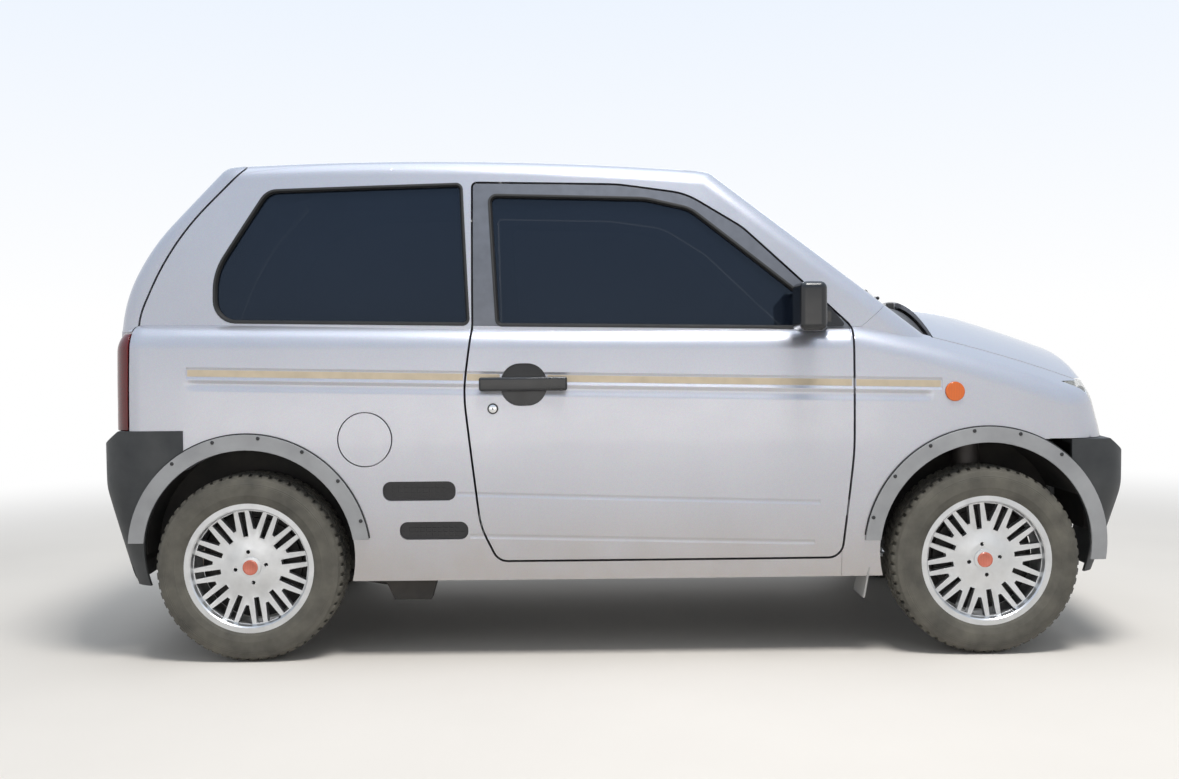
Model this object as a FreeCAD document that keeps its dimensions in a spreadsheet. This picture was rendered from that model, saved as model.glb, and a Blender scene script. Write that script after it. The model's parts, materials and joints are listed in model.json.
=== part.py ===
import FreeCAD, Part
import Sketcher
from functools import lru_cache
import math
import os

# Small three-door city car on its four wheels. +X is forward, +Y is left, +Z is up,
# millimetres, origin on the ground under the middle of the car.

Vector = FreeCAD.Vector
Rotation = FreeCAD.Rotation
Placement = FreeCAD.Placement

doc = FreeCAD.newDocument("city_car")
sheet = doc.addObject("Spreadsheet::Sheet", "sizes")

# Driving dimensions
SIZES = {
    "overall_length": 3395,
    "wheelbase": 2360,
    "front_axle_x": 1187.5,
    "wheel_track": 1280,
    "tyre_radius": 302,
    "tyre_width": 177,
    "rim_radius": 200,
    "hub_radius": 62,
    "cap_radius": 33,
    "spoke_pairs": 12,
    "sill_height": 255,
    "shoulder_height": 1082,
    "shoulder_radius": 90,
    "skin_half_width": 737.5,
    "moulding_stand": 10,
    "bumper_stand": 3,
    "door_thickness": 62,
    "pillar_thickness": 42,
    "fender_thickness": 22,
    "hood_thickness": 16,
    "glass_thickness": 4,
    "glass_inset": 16,
    "shut_gap": 7,
    "seam_gap": 0.8,
    "arch_radius": 340,
    "arch_lift": 40,
    "moulding_width": 50,
    "liner_radius": 352,
    "hood_rear_x": 1045,
    "door_hinge_x": 728,
    "door_hinge_inset": 10.5,
    "fuel_flap_x": -792,
    "fuel_flap_z": 712,
    "fuel_flap_radius": 84,
    "floor_height": 255,
    "floor_thickness": 12,
    "kingpin_low_y": 585,
    "kingpin_high_y": 470,
    "steering_wheel_radius": 185,
    "driver_y": -340,
    "bolt_circle_radius": 50,
    "engine_length": 360,
    "engine_width": 560,
    "engine_height": 470,
}
row = 1
for alias, value in SIZES.items():
    sheet.set("A%d" % row, alias)
    sheet.set("B%d" % row, str(value))
    sheet.setAlias("B%d" % row, alias)
    row += 1
doc.recompute()


def size(alias):
    return float(sheet.get(alias))


HALF_LENGTH = size("overall_length") / 2
NOSE_X = HALF_LENGTH - 11.5
FRONT_X = size("front_axle_x")
REAR_X = FRONT_X - size("wheelbase")
WHEEL_Z = size("tyre_radius")
TYRE_R = size("tyre_radius")
WHEEL_Y = size("wheel_track") / 2
ARCH_Z = WHEEL_Z + size("arch_lift")
SKIN_Y = size("skin_half_width")
SHOULDER_Z = size("shoulder_height")
SILL_Z = size("sill_height")
SHUT = size("shut_gap")
SEAM = size("seam_gap")
FAR = 900.0
SIDES = {"right": -1, "left": 1}


# Outlines and prisms


def rounded_wire(corners, plane="xz"):
    """Closed wire from corners (a, b, radius), straight between its rounded corners."""

    def point(a, b):
        if plane == "xz":
            return Vector(a, 0, b)
        if plane == "yz":
            return Vector(0, a, b)
        return Vector(a, b, 0)

    spans = []
    for index, corner in enumerate(corners):
        here = point(corner[0], corner[1])
        before = point(*corners[index - 1][:2])
        after = point(*corners[(index + 1) % len(corners)][:2])
        radius = corner[2] if len(corner) > 2 else 0
        if radius == 0:
            spans.append((here, here, None))
            continue
        back = (before - here).normalize()
        ahead = (after - here).normalize()
        half_angle = back.getAngle(ahead) / 2
        reach = radius / math.tan(half_angle)
        centre = here + (back + ahead).normalize() * (radius / math.sin(half_angle))
        middle = centre + (here - centre).normalize() * radius
        spans.append((here + back * reach, here + ahead * reach, middle))
    edges = []
    for index, (start, end, middle) in enumerate(spans):
        if middle is not None:
            edges.append(Part.Arc(start, middle, end).toShape())
        following = spans[(index + 1) % len(spans)][0]
        if (following - end).Length > 1e-6:
            edges.append(Part.LineSegment(end, following).toShape())
    return Part.Wire(edges)


def offset_face(corners, distance, plane="xz"):
    face = Part.Face(rounded_wire(corners, plane))
    if distance == 0:
        return face
    return face.makeOffset2D(distance)


def side_prism(corners, side, inner=300.0, outer=FAR, grow=0.0):
    """Side-view outline carried across the car from |y| = inner to |y| = outer."""
    face = offset_face(corners, grow)
    face.translate(Vector(0, side * inner, 0))
    return face.extrude(Vector(0, side * (outer - inner), 0))


def cross_prism(corners, half=FAR, grow=0.0):
    face = offset_face(corners, grow)
    face.translate(Vector(0, -half, 0))
    return face.extrude(Vector(0, 2 * half, 0))


def front_prism(corners, start_x, end_x, grow=0.0):
    """Front-view outline (y, z) carried along the car."""
    face = offset_face(corners, grow, "yz")
    face.translate(Vector(start_x, 0, 0))
    return face.extrude(Vector(end_x - start_x, 0, 0))


def box(x0, x1, y0, y1, z0, z1):
    return Part.makeBox(x1 - x0, y1 - y0, z1 - z0, Vector(x0, y0, z0))


def rod(start, end, radius):
    axis = end - start
    return Part.makeCylinder(radius, axis.Length, start, axis)


def cross_rod(x, z, radius, y0, y1):
    low, high = min(y0, y1), max(y0, y1)
    return Part.makeCylinder(radius, high - low, Vector(x, low, z), Vector(0, 1, 0))


def mirrored(shape):
    return shape.mirror(Vector(0, 0, 0), Vector(0, 1, 0))


# Large curved surfaces of the body


def turned(corners, axis_x):
    """Centre-line profile turned about an upright axis, so the plan view is a large arc."""
    face = Part.Face(rounded_wire(corners))
    face.rotate(Vector(axis_x, 0, 0), Vector(0, 0, 1), 180)
    return face.revolve(Vector(axis_x, 0, 0), Vector(0, 0, 1), 360)


SIDE_PLAN_RADIUS = 60000.0
GREENHOUSE_PLAN_RADIUS = 14000.0
BARREL_CURVE = 2900.0
WIDEST_Z = 680.0


def swept_side(edges, half_width, plan_radius):
    face = Part.Face(Part.Wire(edges))
    centre = Vector(0, plan_radius - half_width, 0)
    sweep = math.degrees(2000 / plan_radius)
    face.rotate(centre, Vector(0, 0, 1), -sweep)
    return face.revolve(centre, Vector(0, 0, 1), 2 * sweep)


def on_side(z, inset):
    """Point of the right side's barrel section at the car's middle."""
    return Vector(0, inset - SKIN_Y + (z - WIDEST_Z) ** 2 / (2 * BARREL_CURVE), z)


def lower_flank(inset):
    """Right side of the lower body, a barrel-sided surface."""
    bottom_z, top_z = 150.0, 1130.0
    low, high = on_side(bottom_z, inset), on_side(top_z, inset)
    edges = [Part.Arc(low, on_side((bottom_z + top_z) / 2, inset), high).toShape()]
    last = high
    for corner in (high + Vector(0, 40, 270), Vector(0, FAR, 1400), Vector(0, FAR, bottom_z), low):
        edges.append(Part.LineSegment(last, corner).toShape())
        last = corner
    return swept_side(edges, SKIN_Y, SIDE_PLAN_RADIUS)


def upper_flank(inset):
    """Right side of the glasshouse, leaning in towards the roof."""
    low = Vector(0, -697 + inset, 940)
    middle = Vector(0, -662 + inset, 1265)
    high = Vector(0, -596 + inset, 1590)
    top = Vector(0, -545 + inset, 1800)
    edges = [Part.Arc(low, middle, high).toShape()]
    last = high
    for corner in (top, Vector(0, FAR, 1800), Vector(0, FAR, 940), low):
        edges.append(Part.LineSegment(last, corner).toShape())
        last = corner
    return swept_side(edges, 651.0, GREENHOUSE_PLAN_RADIUS)


def crowned_top(start, end, long_radius, cross_radius, drop):
    """Solid under a surface crowned both ways, through two centre-line points (x, z)."""
    chord = Vector(end[0] - start[0], 0, end[1] - start[1])
    middle = Vector((start[0] + end[0]) / 2, 0, (start[1] + end[1]) / 2)
    rise = math.sqrt(long_radius ** 2 - chord.Length ** 2 / 4)
    normal = Vector(chord.z, 0, -chord.x).normalize()
    centre = middle + normal * rise
    top_z = centre.z + long_radius - drop
    half = FAR

    def section_z(y):
        return top_z - (cross_radius - math.sqrt(cross_radius ** 2 - y * y))

    left = Vector(centre.x, half, section_z(half))
    right = Vector(centre.x, -half, section_z(half))
    peak = Vector(centre.x, 0, top_z)
    base_z = top_z - 1900
    edges = [Part.Arc(right, peak, left).toShape()]
    last = left
    for corner in (Vector(centre.x, half, base_z), Vector(centre.x, -half, base_z), right):
        edges.append(Part.LineSegment(last, corner).toShape())
        last = corner
    face = Part.Face(Part.Wire(edges))
    sweep = math.degrees(2400 / long_radius)
    face.rotate(centre, Vector(0, 1, 0), -sweep)
    return face.revolve(centre, Vector(0, 1, 0), 2 * sweep)


def middle_of(edge):
    return edge.valueAt((edge.FirstParameter + edge.LastParameter) / 2)


def filleted(shape, radius, chosen):
    """Fillet on every edge whose middle point passes the test."""
    edges = [edge for edge in shape.Edges if chosen(middle_of(edge))]
    return shape.makeFillet(radius, edges)


@lru_cache(maxsize=None)
def lower_width(inset):
    """Lower body between its two sides, smaller all along by the inset."""
    flank = lower_flank(inset)
    return flank.common(mirrored(flank))


@lru_cache(maxsize=None)
def upper_width(inset):
    flank = upper_flank(inset)
    return flank.common(mirrored(flank))


NOSE_AXIS = -750.0
TAIL_AXIS = 1933.0
TAIL_X = 30.5 - HALF_LENGTH
SPLIT_X = 760.0
HOOD_CROWN = ((1060, 1150), (NOSE_X - 171, 1006), 4800.0, 1500.0)


def nose_turned(inset):
    face_x = NOSE_X - inset
    return turned([(NOSE_AXIS, 100), (face_x, 100), (face_x - 14, 690, 400),
                   (face_x - 194, 1400), (NOSE_AXIS, 1400)], NOSE_AXIS)


def tail_turned(inset):
    return turned([(TAIL_AXIS, 100), (TAIL_X + inset, 100), (TAIL_X + inset, 1150 - inset, 500),
                   (TAIL_X + 107 + inset, 1352 - inset, 700), (TAIL_X + 502 + inset, 1772 - inset),
                   (TAIL_AXIS, 1772 - inset)], TAIL_AXIS)


@lru_cache(maxsize=None)
def front_body(inset, drop):
    """Nose half of the lower body, from the doors' front edge to the lamps."""
    cap = crowned_top(*HOOD_CROWN, drop)
    block = lower_width(inset).common(nose_turned(inset)).common(cap)
    block = block.common(box(500, 1800, -FAR, FAR, 140, 1400))
    corner = 150.0 - inset
    edge = 90.0 - drop
    block = filleted(block, corner, lambda m: abs(m.y) > 500 and m.x > 1300 and m.z < 900)
    return filleted(block, edge, lambda m: m.x > 520 and m.z > 835)


@lru_cache(maxsize=None)
def rear_body(inset):
    """Door and tail half of the lower body, with a rounded shoulder all round."""
    tail_z = SHOULDER_Z + 6 - inset * 0.1
    front_z = SHOULDER_Z - 20 - inset * 0.1
    top = cross_prism([(-1800, 140), (SPLIT_X, 140), (SPLIT_X, front_z), (-1800, tail_z)])
    block = lower_width(inset).common(tail_turned(inset)).common(top)
    block = filleted(block, 110.0 - inset * 0.8,
                     lambda m: abs(m.y) > 500 and m.x < -1500 and 200 < m.z < SHOULDER_Z - 8)
    if inset > 0:
        return block
    return filleted(block, size("shoulder_radius"), lambda m: m.z > front_z - 1 and m.x < 750)


def screen_turned(inset):
    """Solid behind the windscreen's surface, a cone about a far upright axis."""
    return turned([(-1900, 750), (1430.7 - inset * 1.6, 750), (100 - inset * 1.6, 1797),
                   (-1900, 1797)], -1900)


def glasshouse(inset):
    windscreen = screen_turned(inset)
    roof = crowned_top((-1100, 1644), (-300, 1642), 12500.0, 4500.0, inset * 0.9)
    block = upper_width(inset).common(windscreen).common(tail_turned(inset)).common(roof)
    block = block.common(box(-1800, 1300, -FAR, FAR, 965, 1800))
    return filleted(block, 70.0 - inset * 0.9, lambda m: m.z > 980)


nose_solid = front_body(0, 0)
tail_solid = rear_body(0)
house_solid = glasshouse(0)
nose_room = front_body(size("fender_thickness"), size("hood_thickness"))
tail_room = rear_body(size("door_thickness"))
house_room = glasshouse(size("pillar_thickness"))
ahead = box(SPLIT_X, 1800, -FAR, FAR, 100, 1500)
outer = tail_solid.fuse([house_solid, nose_solid.common(ahead)])
inside = tail_room.fuse([house_room, nose_room.common(ahead)])
skin = outer.cut(inside).common(box(-1800, 1800, -FAR, FAR, SILL_Z, 1800))


# Outlines seen from the side (x, z, corner radius)

DOOR = [(-449, 1534, 12), (-447, 1066, 300), (-474, 860, 500), (-425, 430, 250), (-372, 320, 45),
        (722, 320, 45), (759, 660, 900), (763, 1056, 30), (420, 1378, 200), (240, 1490, 220),
        (20, 1522, 400)]
DOOR_GLASS = [(-399, 1497, 25), (-373, 1070, 20), (604, 1052, 15), (600, 1168, 10),
              (255, 1446, 120), (110, 1480, 200)]
QUARTER_GLASS = [(-486, 1535, 20), (-461, 1073, 20), (-1296, 1091, 75), (-1299, 1255, 200),
                 (-1130, 1524, 60)]
TAILGATE = [(-1212, 1760), (-1212, 1602), (-1445, 1362, 900), (-1553, 1110, 250), (-1553, 700),
            (-1850, 700), (-1850, 1760)]
BELT = [(-1900, 1097), (1300, 1038.7)]
SILL_END_X = 725.0
SIDE_REGION = [(-1800, 140), (SILL_END_X, 140), (SILL_END_X, 1056), (801, 1056), (905, 1142),
               (1500, 1142), (1500, 1800), (-1800, 1800)]
FENDER_REGION = [(SILL_END_X, 140), (1800, 140), (1800, 1142), (905, 1142), (801, 1056),
                 (SILL_END_X, 1056)]
REAR_BUMPER_TOP = 745.0
LEDGE_X = HALF_LENGTH - 57.5
FRONT_BUMPER = [(900, 150), (HALF_LENGTH - 121.5, 150), (HALF_LENGTH, 530, 200), (HALF_LENGTH, 800),
                (900, 800)]
FRONT_LEDGE = [(900, 256), (1750, 256), (1750, 600), (LEDGE_X, 690), (900, 690)]
REAR_BUMPER = [(-900, 150), (-HALF_LENGTH + 107.5, 150), (-HALF_LENGTH, 560, 200), (-HALF_LENGTH, 850),
               (-900, 850)]
REAR_LEDGE = [(-900, 243), (-1750, 243), (-1750, REAR_BUMPER_TOP - 87), (-LEDGE_X, REAR_BUMPER_TOP),
              (-900, REAR_BUMPER_TOP)]
BUMPER_AXIS = 2900.0
BUMPER_BACK_X = HALF_LENGTH - 120.5

# Outlines seen from the front (y, z, corner radius)

WINDSCREEN = [(-612, 1118, 60), (612, 1118, 60), (520, 1548, 60), (-520, 1548, 60)]
REAR_GLASS = [(-535, 1112, 70), (535, 1112, 70), (470, 1530, 70), (-470, 1530, 70)]
HOOD_HALF = 612.0
COWL_HALF = 610.0
ROOF_HALF = 540.0
HOOD_LIP_Z = 878.0
LAMP_INNER_Y = 386.0
LAMP_OUTER_Y = 650.0
TAIL_LAMP_Y = 555.0
LAMP_LOW_Z = 692.0
TAIL_LAMP_TOP_Z = 1057.0


def above_belt(gap):
    return cross_prism([(BELT[0][0], BELT[0][1] + gap), (BELT[1][0], BELT[1][1] + gap), (BELT[1][0], 1900),
                        (BELT[0][0], 1900)])


def below_belt(gap):
    return cross_prism([(BELT[0][0], BELT[0][1] - gap), (BELT[1][0], BELT[1][1] - gap), (BELT[1][0], 100),
                        (BELT[0][0], 100)])


def bumper_solid(corners, ledge, inset, sign):
    """Wrap-round bumper: turned profile between the two flanks, with rounded corners."""
    shifted = []
    for corner in corners:
        reach = 0 if abs(corner[0]) == 900 else sign * inset
        shifted.append((corner[0] - reach, corner[1]) + tuple(corner[2:]))
    block = lower_width(inset - size("bumper_stand")).common(turned(shifted, -sign * BUMPER_AXIS))
    ends = (1250, 1800) if sign > 0 else (-1800, -1250)
    block = block.common(box(ends[0], ends[1], -FAR, FAR, 160, 790))
    block = filleted(block, 125.0 - inset,
                     lambda m: abs(m.y) > 500 and abs(m.x) > 1450 and 170 < m.z < 785)
    trimmed = [(x - (sign * inset if abs(x) == LEDGE_X else 0), z - (inset if z > 500 else 0))
               for x, z in ledge]
    return block.common(turned(trimmed, -sign * BUMPER_AXIS))


BUMPER_WALL = 14
front_bumper_solid = bumper_solid(FRONT_BUMPER, FRONT_LEDGE, 0, 1)
front_bumper_room = bumper_solid(FRONT_BUMPER, FRONT_LEDGE, BUMPER_WALL, 1)
rear_bumper_solid = bumper_solid(REAR_BUMPER, REAR_LEDGE, 0, -1)
rear_bumper_room = bumper_solid(REAR_BUMPER, REAR_LEDGE, BUMPER_WALL, -1)


# Pieces and their labels


def piece(label, shape):
    """Body surface piece: its shape is set from the curved solids above."""
    made = doc.addObject("Part::Feature", label)
    made.Label = label
    made.Shape = shape
    pieces.append(made)
    return made


pieces = []


def arch_rod(axle_x, radius, y0, y1):
    return cross_rod(axle_x, ARCH_Z, radius, y0, y1)


def flank_shell(stand_out, depth, corners, side, grow=0.0):
    """Sheet that follows the lower side, from stand_out outside the skin to depth inside it."""
    shell = lower_width(-stand_out).cut(lower_width(depth))
    return shell.common(side_prism(corners, side, 400.0, FAR, grow))


def side_groove(rear_x, rear_z, front_x, front_z, bed, slope, depth):
    """Pressed line along the right side: a bed of even depth between two sloping edges."""
    fall = (front_z - rear_z) / (front_x - rear_x)
    line_z = rear_z - rear_x * fall
    clear = 30.0
    section = [(-bed / 2 - slope, 0.0), (-bed / 2, depth), (bed / 2, depth), (bed / 2 + slope, 0.0),
               (bed / 2 + slope + clear, -clear), (-bed / 2 - slope - clear, -clear)]
    corners = [on_side(line_z + rise, inward) for rise, inward in section]
    face = Part.Face(Part.makePolygon(corners + corners[:1]))
    centre = Vector(0, SIDE_PLAN_RADIUS - SKIN_Y, 0)
    start, end = (math.degrees(x / SIDE_PLAN_RADIUS) for x in (rear_x, front_x))
    face.rotate(centre, Vector(0, 0, 1), start)
    tool = face.revolve(centre, Vector(0, 0, 1), end - start)
    tool.rotate(Vector(0, 0, line_z), Vector(0, 1, 0), -math.degrees(math.atan(fall)))
    outward = -(line_z - WIDEST_Z) / BARREL_CURVE * fall
    tool.rotate(Vector(0, -SKIN_Y, line_z), Vector(0, 0, 1), -math.degrees(math.atan(outward)))
    return tool


def keep_largest(shape):
    return max(shape.Solids, key=lambda solid: solid.Volume)


# Body sides, roof, tailgate, doors

FLAP_X, FLAP_Z = size("fuel_flap_x"), size("fuel_flap_z")
FLAP_R = size("fuel_flap_radius")
FLAP_SHEET = 10.0
VENTS = {"upper": (-738, -506, 515, 577), "lower": (-687, -468, 389, 447)}
VENT_CORNER = 26.0
VENT_DEPTH = 14.0
BUMPER_GAP = 0.5


def stadium(x0, x1, z0, z1, radius):
    return [(x0, z0, radius), (x1, z0, radius), (x1, z1, radius), (x0, z1, radius)]


# Pressed lines of the side: rear x, z, front x, z, height of the bed, of each sloping edge, depth
SIDE_LINES = [(-1363, 929, 1045, 870, 24, 8, 3.0), (-502, 536, 655, 497, 4, 6, 2.0),
              (-464, 400, 638, 368, 4, 6, 2.0)]
grooves = {"right": [side_groove(*line) for line in SIDE_LINES]}
grooves["left"] = [mirrored(groove) for groove in grooves["right"]]

tailgate_zone = cross_prism(TAILGATE)
tailgate_cut = cross_prism(TAILGATE, grow=SHUT)
lamp_zone = box(-1800, -1552.0, -FAR, FAR, REAR_BUMPER_TOP - 10, TAIL_LAMP_TOP_Z)
windscreen_cut = front_prism(WINDSCREEN, 150, 1500)
arches = [arch_rod(x, size("arch_radius"), -FAR, FAR) for x in (FRONT_X, REAR_X)]
bumper_clear = bumper_solid(REAR_BUMPER, REAR_LEDGE, -BUMPER_GAP, -1)
front_bumper_clear = bumper_solid(FRONT_BUMPER, FRONT_LEDGE, -BUMPER_GAP, 1)
rear_slab = box(-1800, -1250, -FAR, FAR, 140, REAR_BUMPER_TOP + BUMPER_GAP)
behind_arch = box(-1800, REAR_X - 200, -FAR, FAR, 100, REAR_BUMPER_TOP + BUMPER_GAP)
door_cut = {side: side_prism(DOOR, sign, 200.0, FAR, SHUT) for side, sign in SIDES.items()}

# Right side first: the left side is its mirror image, apart from the fuel flap
low_middle = box(500, 1800, -HOOD_HALF, HOOD_HALF, 100, 1142)
side_blank = skin.common(cross_prism(SIDE_REGION)).common(
    box(-1800, 1800, -FAR, -400, SILL_Z, 1800))
side_blank = side_blank.cut([tailgate_cut, door_cut["right"], arches[1], lamp_zone, windscreen_cut,
                             side_prism(QUARTER_GLASS, -1, 200.0), rear_slab.common(behind_arch),
                             low_middle, box(-1800, 1800, -ROOF_HALF - SEAM / 2, 0, 1400, 1800),
                             box(-1800, 1800, -TAIL_LAMP_Y, 0, 100, 1062)])
for x0, x1, z0, z1 in VENTS.values():
    pocket = flank_shell(20.0, VENT_DEPTH, stadium(x0, x1, z0, z1, VENT_CORNER), -1)
    side_blank = side_blank.cut(pocket)
# A groove is trimmed at the door opening first, since one that runs on past it cuts nothing here
side_blank = side_blank.cut([groove.cut(door_cut["right"]) for groove in grooves["right"]])
hinge_pillar = box(772, 800, -700, -632, SILL_Z + 12, 1072)
hinge_pillar = hinge_pillar.fuse(box(690, 800, -700, -632, SILL_Z + 12, 306))
hinge_pillar = hinge_pillar.common(front_body(size("fender_thickness") + SEAM, size("hood_thickness") + SEAM))
hinge_pillar = hinge_pillar.cut(arches[0])
hinge_leaves = box(735, 773, -699, -676, 450, 500).fuse(box(735, 773, -699, -676, 840, 890))
hinge_leaves = hinge_leaves.cut(side_prism(DOOR, -1, 200.0, FAR, 0.3))
side_blank = keep_largest(side_blank.fuse([hinge_pillar, hinge_leaves]))
fuel_pocket = Part.makeCylinder(FLAP_R + 4, 300, Vector(FLAP_X, -FAR, FLAP_Z), Vector(0, 1, 0))
fuel_pocket = fuel_pocket.common(box(-1800, 0, -FAR, -684, 0, 1400))
flap_latch = box(FLAP_X - 66, FLAP_X - 52, -740, -683, FLAP_Z - 8, FLAP_Z + 8)
flap_latch = flap_latch.common(lower_width(FLAP_SHEET + 0.3))
piece("side_panel_right", side_blank.cut(fuel_pocket).fuse(flap_latch))
piece("side_panel_left", mirrored(side_blank))

flap_disc = Part.makeCylinder(FLAP_R, 300, Vector(FLAP_X, -FAR, FLAP_Z), Vector(0, 1, 0))
piece("fuel_flap", flap_disc.common(lower_width(0).cut(lower_width(FLAP_SHEET))))
fuel_neck = cross_rod(FLAP_X, FLAP_Z, 34, -708, -684)
piece("fuel_cap", fuel_neck.fuse(box(FLAP_X - 30, FLAP_X + 30, -714, -700, FLAP_Z - 6, FLAP_Z + 6)))

roof = skin.common(box(-1800, 900, -ROOF_HALF + SEAM / 2, ROOF_HALF - SEAM / 2, 1400, 1800))
roof = roof.cut([tailgate_cut, windscreen_cut])
GATE_AXIS = (-1210.0, 1642.0)
gate_eyes = []
for hinge_y in (-95.0, 95.0):
    ears = [box(-1214, -1190, hinge_y + a, hinge_y + a + 7, 1625, 1646) for a in (-15.5, 8.5)]
    pin = cross_rod(GATE_AXIS[0], GATE_AXIS[1], 3, hinge_y - 15.5, hinge_y + 15.5)
    roof = roof.fuse(ears + [pin])
    eye = cross_rod(GATE_AXIS[0], GATE_AXIS[1], 6, hinge_y - 8, hinge_y + 8)
    neck = box(-1232, -1212, hinge_y - 8, hinge_y + 8, 1625, 1644)
    bore = cross_rod(GATE_AXIS[0], GATE_AXIS[1], 3.3, hinge_y - 20, hinge_y + 20)
    notch = box(-1222, -1200, hinge_y - 18, hinge_y + 18, 1600, 1660)
    gate_eyes.append((eye.fuse(neck), bore, notch))
    roof = roof.cut(box(-1206, -1201, hinge_y - 8.5, hinge_y + 8.5, 1600, 1660))
piece("roof_panel", keep_largest(roof))

gate = skin.common(tailgate_zone).common(box(-1800, -1100, -FAR, FAR, REAR_BUMPER_TOP + SHUT, 1800))
gate_low = box(-1800, -1100, -FAR, FAR, 600, TAIL_LAMP_TOP_Z + SHUT)
gate_keep = box(-1800, -1100, -TAIL_LAMP_Y + SHUT, TAIL_LAMP_Y - SHUT, 500, TAIL_LAMP_TOP_Z + SHUT + 1)
rear_glass_cut = front_prism(REAR_GLASS, -1800, -1100)
gate = gate.cut([gate_low.cut(gate_keep), rear_glass_cut])
for eye, bore, notch in gate_eyes:
    gate = gate.cut(notch).fuse(eye).cut(bore)
piece("tailgate", keep_largest(gate))

lamps = tail_solid.common(box(-1800, -1552.6, -FAR, FAR, REAR_BUMPER_TOP + BUMPER_GAP,
                              TAIL_LAMP_TOP_Z - SEAM))
lamps = lamps.cut([box(-1800, -1100, -TAIL_LAMP_Y, TAIL_LAMP_Y, 0, 1800), rear_body(40)])
piece("tail_lamps", lamps)

LOCK_X, LOCK_Z, LOCK_R, LOCK_DEPTH = -384.0, 806.0, 17.0, 4.0
LOCK_BOX = (LOCK_X - LOCK_R - 0.1, LOCK_X + LOCK_R + 0.1, LOCK_Z - LOCK_R - 0.1, LOCK_Z + LOCK_R + 0.1)
for side, sign in SIDES.items():
    blank = skin.common(side_prism(DOOR, sign, 200.0))
    low = blank.common(below_belt(SEAM / 2))
    high = blank.common(above_belt(SEAM / 2)).cut(side_prism(DOOR_GLASS, sign, 200.0))
    cup = flank_shell(20.0, 26.0, stadium(-359, -212, 814, 949, 62), sign)
    lock = flank_shell(20.0, LOCK_DEPTH + 0.4, stadium(*LOCK_BOX, LOCK_R), sign, 0.4)
    low = low.cut([cup, lock] + grooves[side])
    piece("door_" + side, keep_largest(low))
    piece("door_frame_" + side, keep_largest(high))

# Front wings, hood, cowl, lamps and grille

nose_skin = skin.common(box(SILL_END_X, 1800, -FAR, FAR, SILL_Z, 1300))
hood_plan = [(size("hood_rear_x"), -HOOD_HALF, 0), (1800, -572, 0), (1800, 572, 0),
             (size("hood_rear_x"), HOOD_HALF, 0)]


def plan_prism(corners, z0, z1, grow=0.0):
    face = offset_face(corners, grow, "xy")
    face.translate(Vector(0, 0, z0))
    return face.extrude(Vector(0, 0, z1 - z0))


hood_zone = plan_prism(hood_plan, HOOD_LIP_Z, 1400)
hood_cut = plan_prism(hood_plan, HOOD_LIP_Z - SHUT, 1400, SHUT)
nose_face = box(1450, 1800, -LAMP_OUTER_Y - 2, LAMP_OUTER_Y + 2, 100, HOOD_LIP_Z - SHUT + 1)
wing = nose_skin.common(cross_prism(FENDER_REGION, grow=-SEAM)).common(
    box(SILL_END_X, 1800, -FAR, -300, SILL_Z, 1300))
wing = wing.cut([door_cut["right"], hood_cut, nose_face, arches[0], front_bumper_clear,
                 box(700, size("hood_rear_x") + 8, -COWL_HALF, COWL_HALF, 100, 1300),
                 box(1450, 1800, -FAR, FAR, 100, 600),
                 box(FRONT_X + 200, 1800, -FAR, FAR, 100, LAMP_LOW_Z)])
behind_split = box(700, SPLIT_X + 1, -FAR, 0, 100, 1000)
wing = wing.cut([lower_width(size("fender_thickness")).common(behind_split)] + grooves["right"][:1])
marker_x, marker_z, marker_r = 1084.0, 845.0, 31.0
marker_cut = cross_rod(marker_x, marker_z, marker_r + 0.5, -FAR, -600)
marker_cut = marker_cut.common(lower_width(-30).cut(lower_width(4.4)))
wing = keep_largest(wing).cut(marker_cut)
piece("fenders", Part.makeCompound([wing, mirrored(wing)]))
marker = cross_rod(marker_x, marker_z, marker_r, -FAR, -600)
marker = marker.common(lower_width(-6).cut(lower_width(4)))
piece("side_markers", Part.makeCompound([marker, mirrored(marker)]))

HOOD_AXIS = (1036.0, 1141.0)
COWL_DROP = 26.0
hood = nose_solid.cut(nose_room).common(hood_zone)
for hinge_y in (-100.0, 100.0):
    eye = cross_rod(HOOD_AXIS[0], HOOD_AXIS[1], 7, hinge_y - 8, hinge_y + 8)
    neck = box(1040, 1064, hinge_y - 8, hinge_y + 8, 1124, 1144)
    bore = cross_rod(HOOD_AXIS[0], HOOD_AXIS[1], 4, hinge_y - 20, hinge_y + 20)
    hood = hood.fuse([eye, neck]).cut(bore)
piece("hood", keep_largest(hood))

cowl_top = crowned_top(*HOOD_CROWN, COWL_DROP)
cowl_low = crowned_top(*HOOD_CROWN, COWL_DROP + 14)
cowl = cowl_top.cut(cowl_low).common(box(820, size("hood_rear_x") - 7, -606, 606, 1000, 1300))
cowl = cowl.cut(screen_turned(4.6))
cowl_lip = box(size("hood_rear_x") - 13, size("hood_rear_x") - 7, -606, 606, 980, 1300).common(cowl_top)
cowl = cowl.fuse(cowl_lip)
for hinge_y in (-100.0, 100.0):
    ears = [box(1020, 1041, hinge_y + a, hinge_y + a + 7, 1112, 1147) for a in (-15.5, 8.5)]
    pin = cross_rod(HOOD_AXIS[0], HOOD_AXIS[1], 3.7, hinge_y - 15.5, hinge_y + 15.5)
    cowl = cowl.fuse(ears + [pin])


def cowl_z(x, y):
    """Height of the cowl's top, a little below the hood's crown."""
    return 1150 + 0.255 * (1060 - x) - y * y / 3000 - COWL_DROP


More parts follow.
